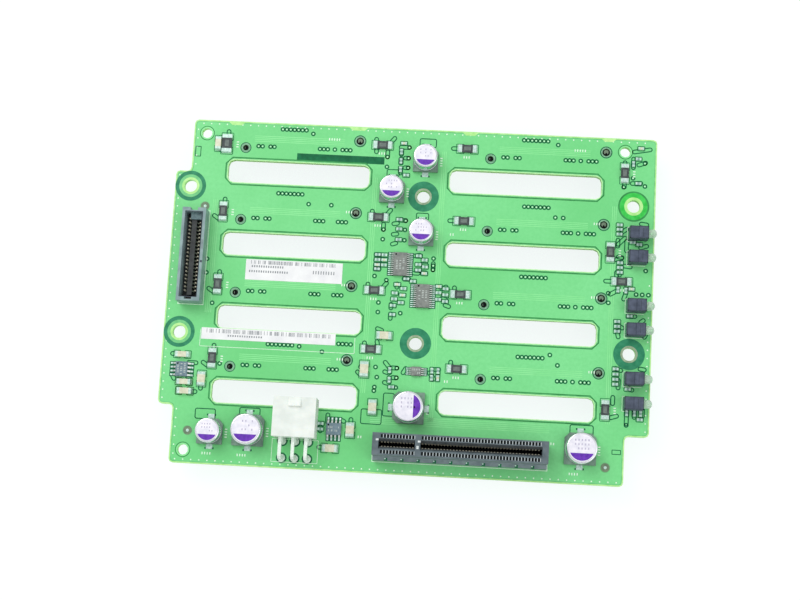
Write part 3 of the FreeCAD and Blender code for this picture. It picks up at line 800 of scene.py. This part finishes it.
def capacitor_tops():
    """Turned cans with a crimp, a rounded shoulder and a coloured field on the top."""
    for number, box in enumerate(numbered("capacitor_can_"), 1):
        x, y = box.x, box.y
        low, high, r = box.low.z, box.high.z, box.size.x / 2
        wall, groove = r - SHELL_GAP, low + CRIMP_RISE
        profile = [(r - 0.35, low), (wall, low + 0.3), (wall, groove - CRIMP_HALF)]
        for k in range(TURN_STEPS + 1):
            a = math.pi * k / TURN_STEPS
            profile.append((wall - CRIMP_DEPTH * math.sin(a), groove - CRIMP_HALF * math.cos(a)))
        for k in range(TURN_STEPS + 1):
            a = math.pi / 2 * k / TURN_STEPS
            profile.append((wall - SHOULDER * (1 - math.cos(a)), high - SHOULDER * (1 - math.sin(a))))
        profile.append((r - 0.75, high - 0.02))
        replaced = ["capacitor_can_%d" % number]
        can = Piece("capacitor_shell_%d" % number, "can_metal", "can_aluminium", True, replaced)
        can.lathe(x, y, profile)
        top = Piece("capacitor_top_%d" % number, "can_top", "can_aluminium")
        top.disc(x, y, r - 0.62, high - 0.1, high - 0.006, 64)
        mark = Piece("capacitor_mark_%d" % number, "violet", "can_aluminium")
        mark.prism(mark_outline(x, y, r, number == MARK_TO_RIGHT), *skin(high, 0.0))


def mark_outline(x, y, radius, to_right):
    """A segment of the top disc between a chord and an arc."""
    half = math.acos(MARK_START / MARK_END)
    middle = 0 if to_right else -math.pi / 2
    return arc(x, y, MARK_END * radius, middle - half, 2 * half, MARK_STEPS)


def top_lines():
    """Rows of short strokes on each can top, in place of its lettering."""
    ink = Piece("capacitor_top_strokes", "can_ink", "can_aluminium")
    chance = random.Random(7)
    for box in numbered("capacitor_can_"):
        x, y, r = box.x, box.y, box.size.x / 2
        for row in range(3):
            for step in range(5):
                if chance.random() < 0.3:
                    continue
                px, py = x + (step - 2) * 0.21 * r, y + (0.5 - row * 0.27) * r
                ink.block(px, py, 0.08 * r, 0.13 * r, *skin(box.high.z, 0.0))


# Middle, length and width of the larger copper fields under the capacitors
PAD_FRAMES = [
    (84.0, 110.8, 5.8, 3.2), (72.8, 100.0, 4.4, 2.6), (83.4, 85.6, 4.4, 2.6), (15.9, 16.4, 6.9, 3.6),
    (30.5, 17.6, 7.0, 3.2), (138.6, 17.4, 7.8, 3.8), (75.6, 22.5, 3.8, 7.8), (70.2, 18.3, 7.0, 5.1),
]
PAD_CORNER_MARK = 0.62


def lead_pads():
    """Solder round each capacitor lead, dark marks at its corners, and the outlines of larger fields."""
    solder = Piece("capacitor_solder", "solder", "tin")
    outline = Piece("capacitor_pad_outlines", "dark_mask")
    bases = numbered("capacitor_base_")
    for box in solid_boxes("capacitor_leads"):
        x, y, (length, width, _) = box.x, box.y, box.size
        solder.prism(rectangle(x, y, length + 0.2, width + 0.3, 0.2), 0.0, 0.09)
        solder.prism(rectangle(x, y, length * 0.72, width * 0.96, 0.1), box.high.z, box.high.z + 0.05)
        base = min(bases, key=lambda b: (b.middle - box.middle).length)
        away = box.middle - base.middle
        upright = abs(away.y) > abs(away.x)
        along, across = lie(length, width, upright)
        out = math.copysign(along / 2 - 0.1, away.y if upright else away.x)
        for side in (-1, 1):
            dx, dy = lie(out, side * (across / 2 + 0.25), upright)
            outline.block(x + dx, y + dy, PAD_CORNER_MARK, PAD_CORNER_MARK, *RING)
    for x, y, length, width in PAD_FRAMES:
        outline.border(x, y, length, width, 0.32, RING, (0.7, 0.4))


# ======== card edge slot
CARD_HALF_WIDTH = 3.55
CARD_MIDDLE = node_box("card_edge_slot").high.y - CARD_HALF_WIDTH
CARD_FIRST_CONTACT, CARD_KEY_STEP = 3.0, 3.0
CARD_BEFORE_KEY, CARD_AFTER_KEY = 11, 38
CARD_ENDS = 2.05                     # from each end of the moulding to its mouth
CARD_KEY = (13.6, 15.4)              # from the left end of the moulding
CARD_WINDOWS = 2.5                   # from the middle line
SHELF_FOOT, SHELF_TOP = 3.2, 4.2
FOOT_NOTCHES, NOTCH_START, NOTCH_PITCH = 10, 3.7, 5.25


def card_contact_columns(start):
    """The x of each pair of contacts, from the left end of the moulding."""
    xs = [start + CARD_FIRST_CONTACT + i for i in range(CARD_BEFORE_KEY)]
    return xs + [xs[-1] + CARD_KEY_STEP + i for i in range(CARD_AFTER_KEY)]


def card_edge_details():
    """Contact springs in the mouth, painted shade in the window openings, deep in the mouth and on its
    bevels, painted highlights on the ribs between the windows and on the chamfers, the shelf and the notches
    along its foot.
    """
    box = node_box("card_edge_slot")
    left, right, front, top = box.low.x, box.high.x, box.low.y, box.high.z
    springs = Piece("card_edge_contacts", "gold", "contact_gold")
    gaps = Piece("card_slot_shade", "shade", "connector_grey")
    ribs = Piece("card_window_rib_highlights", "highlight", "connector_grey")
    bevels = Piece("card_mouth_bevel_shade", "bevel_shade", "connector_grey")
    glints = Piece("card_slot_glints", "highlight", "connector_grey")
    for x in card_contact_columns(left):
        for side in (-1, 1):
            window = CARD_MIDDLE + side * CARD_WINDOWS
            springs.block(x, CARD_MIDDLE + side * 0.72, 0.42, 0.3, 2.6, top - 2.3)
            # Painted shade: a dark block in each window opening
            gaps.block(x, window, 0.61, 1.08, top - 0.3, top - 0.04)
            # Painted highlight on the rib beside each window
            ribs.block(x + 0.5, window, 0.14, 1.1, top - 0.05, top + 0.01)
    face = top - 0.05, top + 0.012
    mouths = (left + CARD_ENDS, left + CARD_KEY[0]), (left + CARD_KEY[1], right - CARD_ENDS)
    for start, end in mouths:
        # Painted shade: a dark block deep in the mouth
        gaps.block((start + end) / 2, CARD_MIDDLE, end - start, 1.76, 2.6, 3.6)
        # Painted shade on the bevels of the mouth
        slant(bevels, start, end, CARD_MIDDLE + 0.9, CARD_MIDDLE + 1.66, top - 0.8, top - 0.04, 0.03)
        slant(bevels, end, start, CARD_MIDDLE - 0.95, CARD_MIDDLE - 1.3, top - 0.75, top - 0.4, 0.04)
        # Painted highlights on the chamfers at the ends of the mouths, and below on the key web
        glints.block(start - 0.45, CARD_MIDDLE + 1.3, 0.9, 0.6, *face)
    glints.block(left + CARD_KEY[0] + 0.9, CARD_MIDDLE - 0.6, 0.7, 1.0, *face)
    shelf = Piece("card_slot_shelf", "slot_shelf", "connector_grey")
    notches = Piece("card_foot_notches", "dark_mask", "connector_grey")
    tabs = Piece("card_foot_tabs", "solder", "tin")
    slant(shelf, left, right, front, CARD_MIDDLE - CARD_HALF_WIDTH, SHELF_FOOT, SHELF_TOP, 0.03)
    for i in range(FOOT_NOTCHES):
        x = left + NOTCH_START + i * NOTCH_PITCH
        slant(notches, x, x + 1.1, front, front + 0.95, SHELF_FOOT, 3.88, 0.05)
        slant(tabs, x + 0.1, x + 0.55, front + 0.45, front + 0.85, 3.52, 3.81, 0.07)


def slant(piece, left, right, front, back, low, high, lift):
    """A thin sheet on a sloping face, lifted off it a little."""
    ring = [(left, front, low), (right, front, low), (right, back, high), (left, back, high)]
    piece.loft([ring, [(x, y - lift / 2, z + lift) for x, y, z in ring]])


# ======== sideband receptacle
SIDEBAND_CONTACTS, SIDEBAND_PITCH = 20, 1.27
# Rim line of the mouth: its size across, and how much shorter it is than the moulding
SIDEBAND_MOUTH = 5.96, 2.44


def sideband_details():
    """Contact tips along the tongue, the block at its upper end and the tab on the right wall."""
    box = node_box("sideband_receptacle")
    x, y, right = box.x, box.y, box.high.x
    tips = Piece("sideband_contact_tips", "tip", "contact_gold")
    for i in range(SIDEBAND_CONTACTS):
        tip = y + (i - (SIDEBAND_CONTACTS - 1) / 2) * SIDEBAND_PITCH
        for side in (-1, 1):
            tips.block(x + side * 1.1, tip, 0.6, 0.42, 1.3, 3.2)
            tips.block(x + side * 0.5, tip + 0.5, 0.45, 0.3, 2.9, 3.12)
            tips.block(x + side * 1.75, tip + 0.35, 0.5, 0.36, 1.0, 2.9)
    block = Piece("sideband_key_block", "key_block", "connector_black")
    block.block(x + 0.6, box.high.y - 2.6, 3.6, 2.3, 1.0, 4.6)
    sheet = skin(box.high.z, 0.012)
    rim = Piece("sideband_rim_lines", "lamp_rim", "connector_black")
    rim.border(x, y, SIDEBAND_MOUTH[0], box.size.y - SIDEBAND_MOUTH[1], 0.18, sheet)
    rim.block(right - 0.4, y - 2.4, 0.7, 0.7, *sheet)
    tab = Piece("sideband_wall_tab", "slot_shelf", "connector_black")
    tab.block(right - 0.5, y + 3.4, 0.7, 3.2, *sheet)


# ======== power header
TAIL_FROM_LOW = 0.535                # middle of each tail from the lower end of its pin
SOLDER_CONE = [(1.25, 0.0), (1.2, 0.06), (0.95, 0.25), (0.78, 0.6), (0.74, 0.8)]


def header_solder():
    """A cone of solder round each tail, inside a dark ring."""
    dark = Piece("header_pad_rings", "dark_mask")
    solder = Piece("header_solder", "pin_metal", "tin", True)
    for box in solid_boxes("power_pins"):
        x, y = box.x, box.low.y + TAIL_FROM_LOW
        dark.ring(x, y, 1.15, 1.75, *RING)
        solder.lathe(x, y, SOLDER_CONE, 24)


# ======== chips and two-ended parts
CHIPS = ("bus_expander_chip", "bus_switch_chip", "lamp_driver_chip", "regulator_chip", "memory_chip")
TOE_REACH, FIELD_MARGIN = 0.75, 0.3
STROKE_STEPS, STROKE_PITCH, STROKE_ROWS_APART = 7, 0.55, 1.1


def chip_details():
    """Copper under the leads, solder at their toes, a dimple drawn as a dark disc of painted shade, and pale
    strokes on the body.
    """
    field = Piece("chip_lead_fields", "dark_mask")
    toes = Piece("chip_lead_solder", "solder", "tin")
    dimples = Piece("chip_dimple_shade", "shade", "chip_black")
    ink = Piece("chip_strokes", "chip_ink", "chip_black")
    chips = {name: node_box(name) for name in CHIPS}
    sides = {}
    for box in solid_boxes("chip_leads"):
        name = min(chips, key=lambda n: (chips[n].middle - box.middle).length)
        away, size = box.middle - chips[name].middle, chips[name].size
        across = away.x / size.x, away.y / size.y
        upright = abs(across[0]) <= abs(across[1])
        direction = lie(1 if across[upright] > 0 else -1, 0, upright)
        slope(toes, box, direction, TOE_REACH, 0.3)
        sides.setdefault((name, direction), []).append(box)
    for (name, (dx, dy)), boxes in sides.items():
        low = Vector([min(b.low[i] for b in boxes) - FIELD_MARGIN for i in range(2)])
        high = Vector([max(b.high[i] for b in boxes) + FIELD_MARGIN for i in range(2)])
        low += Vector((min(dx, 0), min(dy, 0))) * TOE_REACH
        high += Vector((max(dx, 0), max(dy, 0))) * TOE_REACH
        field.block(*(low + high) / 2, *(high - low), *FIELD)
    chance = random.Random(5)
    for name, chip in chips.items():
        sheet = skin(chip.high.z, 0.004)
        # Painted shade: the dimple is a flat dark disc
        if name != "lamp_driver_chip":
            dimples.disc(chip.low.x + 0.7, chip.high.y - 0.7, 0.3, *sheet)
        tall = chip.size.y > chip.size.x * 1.1
        rows = 3 if tall else 2
        for row in range(rows):
            for step in range(STROKE_STEPS):
                if chance.random() < 0.25:
                    continue
                along = (step - (STROKE_STEPS - 1) / 2) * STROKE_PITCH
                px, py = lie(along, (row - (rows - 1) / 2) * STROKE_ROWS_APART, tall)
                if abs(px) < chip.size.x / 2 - 0.4 and abs(py) < chip.size.y / 2 - 0.4:
                    ink.block(chip.x + px, chip.y + py, *lie(0.22, 0.62, tall), *sheet)


def capsule(ax, ay, bx, by, radius, steps=8):
    """Outline of a strip with round ends."""
    heading = math.atan2(by - ay, bx - ax)
    end = arc(bx, by, radius, heading - math.pi / 2, math.pi, steps)
    return end + arc(ax, ay, radius, heading + math.pi / 2, math.pi, steps)


HOOK_RADIUS, HOOK_LINE = 0.8, 0.36


def hook(piece, x, y, dx, dy):
    """The gap in the copper round a pad and the via beside it."""
    ends = x, y, x + dx, y + dy
    piece.band(capsule(*ends, HOOK_RADIUS), capsule(*ends, HOOK_RADIUS - HOOK_LINE), *RING)


def fuse_hooks(x, y, upright):
    """The gaps beside a fuse, towards the vias that its pads join: start, seen from the fuse, and way."""
    if upright and x < 60:
        return (0.3, 3, 0, 1.2), (-1.4, -2.6, -1.5, 1)
    if upright and y > 90:
        return (0, 3, 0, 0.7), (0, -3, 0, -1.6)
    if upright:
        return (2.4, 2.2, 0, 2), (2, -2.4, 1.8, 0.6)
    if x < 75 and y < 50:
        return ((-2.2, 1.4, 0, 0.6),)
    if x < 75:
        return (-2.2, 1.4, 0, 0.6), (2.9, 1.3, 1, 1.3)
    if x < 120 and y > 75:
        return ((-3, 0, -1.7, 0),)
    if x < 120:
        return ((-2, 1.2, 0, 1),)
    return ((-3.4, 0, -1.8, 0),)


# Other gaps between copper fields: x, y of one end, and the way from there to the other end
HOOKS = [
    (75, 109, 2.7, 0), (75.2, 107.2, 0, -0.8), (75.2, 104.9, 0, -1.3), (76.6, 105.3, 1.1, 0),
    (76.6, 102, 1.1, 0), (75.2, 101.4, 0, -1.3), (70.6, 107.2, 0, -1.8), (66.8, 107.6, 0, -0.6),
    (74, 82.7, 1.2, 0.2), (74, 79.1, 1.2, 0.2), (73.9, 75.8, 1.1, 0.4), (76.2, 84, 1.7, 0),
    (70.6, 82.4, 0, -1.8), (68.7, 72, 1.3, 0), (68.7, 70, 1.3, 0), (68.7, 68.4, 1.3, 0),
    (68.7, 67.2, 1.3, 0), (81.6, 72.2, 1.6, 0.3), (84.2, 69.3, 1.4, 0), (81.6, 66.4, 1.4, 0),
    (84.2, 66.7, 1.2, 0), (87.8, 69.9, 0, -2.1), (76.2, 62.5, 0, -1.1), (78.4, 64.3, 1.6, 0),
    (92.4, 62.3, -1.4, -0.7), (92.6, 58, -1.4, 0.4), (93.6, 55.8, -1.2, 0.4), (74.6, 55.6, 0, -1.2),
    (74.6, 52.4, 0, -1.5), (73.8, 36.3, 1.2, -1.4), (73.8, 33.2, 1.4, -0.4), (73.9, 29.7, 1.3, -0.3),
    (76, 34.6, 1.7, 0), (76.4, 31.4, 1.3, 0), (79.8, 33.2, 0.8, 1.4), (88.4, 33.6, 1.6, -2),
    (91.4, 34.8, -1.4, 0), (70.6, 47.3, 1.4, -0.5), (70.7, 43, 0.3, -1.2), (64.9, 32.7, 0.9, -0.8),
    (66.4, 34.7, -0.6, -0.3), (11.6, 32.9, -2.4, 0), (13.7, 24.6, 0, 1.2), (3.6, 35.6, 0.8, 0),
    (3.9, 28.8, 0.8, -1.4), (10.4, 28.6, -1.2, -0.4), (12, 23.4, -1.4, 0), (56.1, 18.1, 0, -2.3),
    (60, 16.8, 1.4, -0.5), (63.7, 17, 0, -0.6), (53.9, 12.8, 0, 1.4), (53.8, 7.5, 1.1, 0),
    (158, 112, -5.2, -1), (152.6, 108.6, 0, -3), (156.6, 107.4, -2.2, -0.8), (152.4, 100.2, 2.8, 0.2),
    (155.8, 86.6, 1.8, -0.2), (149.4, 83.4, 1.6, 1.2), (150.6, 81.6, -2.2, -2.2), (151.2, 80.6, 0, -3.2),
    (157.8, 79.2, -2, -0.6), (148.6, 75.2, 1.2, -0.2), (149.2, 73.2, 0, -4), (150.8, 72.2, 1.8, -0.2),
    (148.2, 68.9, 0, 1.1), (146.4, 62.6, 2, 1.2), (150.8, 61.2, 0.6, 1.8), (152.4, 55.6, 2.2, 0),
    (157.4, 54.4, -0.8, -0.6), (148.9, 52.6, 1.7, -1), (149, 50.4, 0.4, -1.8), (157.9, 48.9, 0.5, 0.9),
    (148.9, 38.2, 1.7, -0.6), (149.9, 34.4, 0, -2.5), (152.6, 32.4, 1.8, -1), (158.2, 38.2, -1.4, 0.2),
    (152.9, 25, 0, -4.6), (155.4, 25.4, 0, -2.8), (158, 25.4, 0, -2.4),
]
FUSE_FIELD = 2.2, 1.3
END_GAP_ALONG, END_GAP_ACROSS = 1.6, 0.9


def end_details():
    """Sloping solder on pads at the ends of the two-ended parts, and the gaps round them."""
    solder = Piece("end_solder", "solder", "tin")
    gaps = Piece("end_pad_gaps", "dark_mask")
    tops = Piece("fuse_top_fields", "fuse_top", "fuse_dark")
    kinds = (("fuse_bodies", "fuse_terminals", 0.35), ("ceramic_capacitors", "ceramic_terminals", 0.4))
    for node, ends, reach in kinds:
        terminals = solid_boxes(ends)
        for body in solid_boxes(node):
            near = [b for b in terminals if (b.middle - body.middle).length < 4]
            upright = abs(near[0].y - near[1].y) > 1
            more_x, more_y = lie(END_GAP_ALONG, END_GAP_ACROSS, upright)
            for box in near:
                away = box.middle - body.middle
                sign = 1 if (away.y if upright else away.x) > 0 else -1
                slope(solder, box, lie(sign, 0, upright), reach, 0.8)
                length, width = box.size.x + more_x, box.size.y + more_y
                gaps.border(box.x, box.y, length, width, 0.2, BORDER, (0.3, 0.15))
            if node == "fuse_bodies":
                x, y = body.x, body.y
                tops.block(x, y, *lie(*FUSE_FIELD, upright), *skin(body.high.z, 0.006))
                for px, py, dx, dy in fuse_hooks(x, y, upright):
                    hook(gaps, x + px, y + py, dx, dy)
    for places in HOOKS:
        hook(gaps, *places)


TOE = 0.06                           # height of the solder at its outer edge


def slope(piece, box, direction, reach, share):
    """A wedge against the outer face of a terminal, up to a share of its height."""
    upright, sign = direction[0] == 0, sum(direction)
    along, across = (1, 0) if upright else (0, 1)
    near = box.high[along] if sign > 0 else box.low[along]
    end, left, right = near + sign * reach, box.low[across], box.high[across]
    height = box.high.z * share
    corners = (end, left, TOE), (end, right, TOE), (near, right, height), (near, left, height)
    foot = [(*lie(a, b, upright), 0.0) for a, b, _ in corners]
    piece.loft([foot, [(*lie(a, b, upright), z) for a, b, z in corners]])


# Small parts: x, y of the middle; those that stand along the depth of the board, then those across
UPRIGHT_PARTS = [
    (75.2, 107.4), (75.2, 104.2), (75.2, 101.3), (89.2, 34.3), (91.2, 34.3), (89.2, 32), (91.2, 32),
    (75.4, 33.8), (75.4, 30.6), (152.9, 23.8), (155.4, 23.8), (157.4, 23.8), (152.6, 106.8), (148.8, 64.2),
    (151.4, 64),
]
LYING_PARTS = [
    (75.9, 110.3), (77.2, 99.4), (75.8, 84.2), (75.9, 81), (75.9, 77.4), (69.3, 72), (71.5, 72),
    (69.3, 70.3), (71.5, 70.3), (69.3, 68.6), (71.5, 68.6), (69.3, 67.2), (82.9, 72.2), (84.9, 70.9),
    (82.9, 69.3), (85.1, 68.6), (82.9, 67.4), (85, 66.4), (76.3, 62.3), (78.4, 61), (75.6, 59.4),
    (78.2, 58.8), (75.5, 57.4), (90, 62.3), (92.3, 61.6), (90, 60.2), (92.3, 59.6), (90, 58), (92.3, 57.4),
    (75.2, 55.2), (77.8, 56.3), (75.2, 52.2), (76.2, 28.3), (148.7, 85.9), (148.7, 84.4), (148.7, 82.8),
    (149.2, 73.2), (149.2, 71.6), (149.2, 70), (153.2, 64.6), (148.9, 53.6), (148.9, 52), (148.9, 50.4),
    (152.9, 55.6), (148.9, 38), (148.9, 36.3), (148.9, 34.6), (148.9, 33), (153, 31.6), (155, 112.2),
    (154.2, 108.6), (154.4, 100.2), (157.2, 21.9), (53.9, 15.2), (53.9, 13.4), (155.3, 79.6), (153.2, 80.2),
    (81.4, 63.6), (79.2, 64.3),
]
PART_HEIGHT, PART_END_HEIGHT = 0.42, 0.46
PART_END_AWAY = 0.62                 # middle of each soldered end from the middle of its part


def small_parts():
    """Resistors and capacitors about 1.6 mm long, with solder at both ends and gaps round them."""
    ends = Piece("small_part_ends", "solder", "tin")
    dark = Piece("small_resistors", "small_body", "chip_black")
    tan = Piece("small_capacitors", "ceramic", "ceramic_tan")
    gaps = Piece("small_part_gaps", "dark_mask")
    chance = random.Random(4)
    for upright, places in ((True, UPRIGHT_PARTS), (False, LYING_PARTS)):
        for x, y in places:
            body = dark if chance.random() < 0.85 else tan
            body.block(x, y, *lie(0.7, 0.8, upright), 0.0, PART_HEIGHT)
            for side in (-1, 1):
                dx, dy = lie(side * PART_END_AWAY, 0, upright)
                ends.block(x + dx, y + dy, *lie(0.56, 0.86, upright), 0.0, PART_END_HEIGHT)
            gaps.border(x, y, *lie(2.65, 1.75, upright), 0.25, BORDER, (0.4, 0.2))


# ======== labels and printed lines
# Each label: node, height of its bars, start and end of each row of strokes below them, height of a stroke
LABELS = [
    ("wide_label", 1.2, ((1.4, 12.6), (1.4, 14.0)), 0.72),
    ("narrow_label", 1.3, ((9.0, 20.0),), 0.6),
]
LABEL_MARGIN, LABEL_ROWS_APART, LABEL_PITCH = 1.8, 1.7, 0.78


def label_bars():
    """Plain upright bars along the upper edge of each label, and rows of strokes below them."""
    ink = Piece("label_bars", "ink", "label_paper")
    chance = random.Random(11)
    for name, width, rows, tall in LABELS:
        box = node_box(name)
        sheet = skin(box.high.z, 0.008)
        y = box.high.y - 0.35 - width / 2
        x = box.low.x + LABEL_MARGIN
        while x < box.high.x - LABEL_MARGIN:
            bar = chance.choice((0.16, 0.16, 0.3))
            ink.block(x, y, bar, width, *sheet)
            x += bar / 2 + chance.choice((0.24, 0.34, 0.34, 0.9))
        for row, (start, end) in enumerate(rows):
            x = box.low.x + start
            y = box.high.y - 1.1 - width - row * LABEL_ROWS_APART
            while x < box.low.x + end:
                if chance.random() < 0.85:
                    ink.block(x, y, 0.42, tall, *sheet)
                x += LABEL_PITCH
    box = node_box("wide_label")
    for step in range(9):
        x = box.high.x - 9.6 + step * 0.85
        ink.block(x, box.low.y + 3.4, 0.32, 1.1, *skin(box.high.z, 0.008))


def dark_field():
    """The dark field above the upper left slot, left bare."""
    Piece("dark_field", "dark_mask").block(54.95, 104.0, 29.4, 2.55, *FIELD)


STROKE_STEP, STROKE_WIDTH, STROKE_HEIGHT = 0.85, 0.34, 0.8


def strokes(piece, x, y, count, upright=False):
    """A row of short printed strokes, in place of lettering."""
    for i in range(count):
        dx, dy = lie(i * STROKE_STEP, 0, upright)
        piece.block(x + dx, y + dy, *lie(STROKE_WIDTH, STROKE_HEIGHT, upright), *PRINT)


LAMP_PRINT_GAP = 0.35
PRINT_LINE = 0.16
LAMPS_BESIDE_PARTS = (0, 5)


def lamp_outlines(white):
    """A printed line round each lamp housing, short below the two that have small parts there."""
    for i, box in enumerate(numbered("status_lamp_")):
        left = box.low.x - LAMP_PRINT_GAP
        right = box.low.x + 0.4 if i in LAMPS_BESIDE_PARTS else box.high.x - 0.4
        low, high = box.low.y - LAMP_PRINT_GAP, box.high.y + LAMP_PRINT_GAP
        white.path([(box.x, high), (left, high), (left, low), (right, low)], PRINT_LINE, *PRINT)


def printed_lines():
    """Outlines printed round the connectors and the label field, and rows of strokes beside parts."""
    white = Piece("printed_outlines", "print")
    lamp_outlines(white)
    for node, margin in (("card_edge_slot", 0.45), ("sideband_receptacle", 0.4)):
        box = node_box(node)
        length, width = box.size.x + 2 * margin, box.size.y + 2 * margin
        white.border(box.x, box.y, length, width, 0.22, PRINT)
    white.path([(12.3, 44.2), (12.3, 38.6), (63.4, 38.6), (63.4, 43.8)], PRINT_LINE, *PRINT)
    white.border(46.0, 5.8, 15.2, 7.6, PRINT_LINE, PRINT)
    for _, row, x, y in bay_pegs():
        right, count = (28.0, 5) if row == 0 else (35.2, 3)
        strokes(white, x + right, y + 4.2, count)
    for body in solid_boxes("fuse_bodies"):
        if body.size.y > body.size.x:
            strokes(white, body.high.x + 1.9, body.y - 1.0, 3, True)
        else:
            strokes(white, body.x - 1.0, body.low.y - 1.6, 3)
    for i, box in enumerate(numbered("capacitor_base_")):
        strokes(white, box.high.x + 1.0, box.y - 1.6, 4, True)
        if i > 3:
            strokes(white, box.low.x + 2.0, box.low.y - 3.0, 4)
    for x, y in ((128.9, 12.6), (66.4, 11.5), (93.0, 80.0), (93.5, 31.0)):
        strokes(white, x, y, 2)
    marks = Piece("outlined_pads", "dark_mask")
    for x, y, length, width in ((6.8, 104.4, 2.0, 3.6), (150.0, 11.0, 3.0, 1.6)):
        marks.border(x, y, length, width, 0.25, RING, (0.2, 0.1))


# ======== lamps
DOME_LENGTH, DOME_STEPS = 1.2, 8
LAMP_LINE = 0.3
LAMP_STEP = 0.35                     # how much lower the rear of a housing is
LAMP_REAR_END, LAMP_FRONT_START = 2.98, 3.02


def lamp_lenses():
    """Clear domed lenses in place of the plain rods."""
    glass = Piece("lamp_domes", "lens", "lens_clear", True, ["status_lamp_lenses"])
    for box in solid_boxes("status_lamp_lenses"):
        r, tip = box.size.y / 2 - 0.02, box.high.x - 0.01
        shoulder = box.high.x - DOME_LENGTH
        profile = [(r, box.low.x), (r, shoulder)]
        for k in range(1, DOME_STEPS):
            angle = math.pi / 2 * k / DOME_STEPS
            profile.append((r * math.cos(angle), shoulder + (tip - shoulder) * math.sin(angle)))
        glass.lathe(box.y, box.z, profile, 28, True)


def lamp_details():
    """A darker line round the top of each lamp housing, which is a little lower at its rear."""
    rim = Piece("lamp_rims", "lamp_rim", "base_black")
    for box in numbered("status_lamp_"):
        left, right, y, width = box.low.x, box.high.x, box.y, box.size.y
        rear, front = skin(box.high.z - LAMP_STEP, 0.01), skin(box.high.z, 0.01)
        parts = (left, left + LAMP_REAR_END, rear), (left + LAMP_FRONT_START, right, front)
        for start, end, sheet in parts:
            for side in (-1, 1):
                edge = y + side * (width - LAMP_LINE) / 2
                rim.block((start + end) / 2, edge, end - start, LAMP_LINE, *sheet)
        rim.block(left + LAMP_LINE / 2, y, LAMP_LINE, width, *rear)
        rim.block(right - LAMP_LINE / 2, y, LAMP_LINE, width, *front)
        rim.block(left + 4.3, y, 0.2, width - 1.4, *front)


# ======== drive side
TAILS, TAIL_PITCH = 29, 1.27


def drive_solder_tails():
    """A row of soldered tails along the front of each drive connector, under the board."""
    tails = Piece("drive_connector_tails", "solder", "tin")
    under = -board_thickness
    for box in numbered("drive_connector_"):
        for i in range(TAILS):
            x = box.low.x + PEG_FROM_CONNECTOR[0] + 1.4 + i * TAIL_PITCH
            tails.block(x, box.low.y - 0.55, 0.5, 1.1, under - 0.12, under)


# ======== studio
LIGHT_LEVEL, SEEN_LEVEL = 0.72, 1.0
FLOOR_SIZE, FLOOR_BELOW = 6.0, 0.0002


def background():
    """A white background, a little darker as a light than to the camera and through the lenses."""
    world = bpy.data.worlds.new("studio")
    world.use_nodes = True
    bpy.context.scene.world = world
    sky = Nodes(world.node_tree)
    rays = sky.add("ShaderNodeLightPath").outputs
    seen = sky.maths("MAXIMUM", rays["Is Camera Ray"], rays["Is Transmission Ray"])
    level = sky.add("ShaderNodeMapRange", {"Value": seen, "To Min": LIGHT_LEVEL, "To Max": SEEN_LEVEL})
    shader = sky.tree.nodes["Background"]
    sky.feed(level.outputs["Result"], shader.inputs["Strength"])
    sky.feed((1, 1, 1, 1), shader.inputs["Color"])


def floor_finish():
    """White to the camera, with part of the shadow that falls on it kept."""
    finish = Finish("floor_white", roughness=0.9)
    finish.surface("Base Color", (0.93, 0.945, 0.95, 1))
    glow = finish.add("ShaderNodeEmission", {"Color": (0.955, 1.0, 0.995, 1), "Strength": 1.08})
    rays = finish.add("ShaderNodeLightPath").outputs
    share = finish.maths("MULTIPLY", rays["Is Camera Ray"], 0.8)
    feeds = {"Fac": share, 1: finish.shader.outputs["BSDF"], 2: glow.outputs["Emission"]}
    mix = finish.add("ShaderNodeMixShader", feeds)
    finish.feed(mix.outputs["Shader"], finish.tree.nodes["Material Output"].inputs["Surface"])


def lay_floor():
    """A plain floor just under the part."""
    floor_finish()
    mesh = bpy.data.meshes.new("floor")
    mesh.from_pydata([(x, y, 0) for x, y in rectangle(0, 0, FLOOR_SIZE, FLOOR_SIZE)], [], [(0, 1, 2, 3)])
    mesh.materials.append(FINISHES["floor_white"])
    floor = put("floor", mesh)
    floor.location.z = cad_box[0][2] - FLOOR_BELOW


def lamp(name, location, power, width):
    """A square area light that shines at the middle of the part."""
    light = bpy.data.lights.new(name, "AREA")
    light.energy = power
    light.size = width
    hung = put(name, light)
    hung.location = location
    hung.rotation_euler = (-Vector(location)).to_track_quat("-Z", "Y").to_euler()


def studio():
    bpy.context.scene.view_settings.view_transform = "Standard"
    background()
    lay_floor()
    lamp("key_light", (-0.55, 0.55, 0.95), 6.2, 0.7)
    lamp("fill_light", (0.8, -0.3, 0.9), 2.6, 0.9)


def camera():
    """Almost straight down, from above the lower right of the board."""
    data = bpy.data.cameras.new("camera")
    data.lens = 65.46
    data.sensor_width = 36
    data.clip_start = 0.01
    view = put("camera", data)
    view.location = (0.01645, -0.0744, 0.4835)
    view.rotation_euler = Euler([math.radians(a) for a in (8.978, 1.836, 3.191)])
    bpy.context.scene.camera = view


# ======== all together
dress_nodes()
slot_borders()
edge_rim()
hole_rims()
peg_holes()
fiducials()
vias()
stitching()
tracks()
capacitor_tops()
top_lines()
lead_pads()
card_edge_details()
sideband_details()
header_solder()
chip_details()
end_details()
small_parts()
label_bars()
dark_field()
printed_lines()
lamp_lenses()
lamp_details()
drive_solder_tails()
for piece in PIECES:
    piece.make()
studio()
camera()
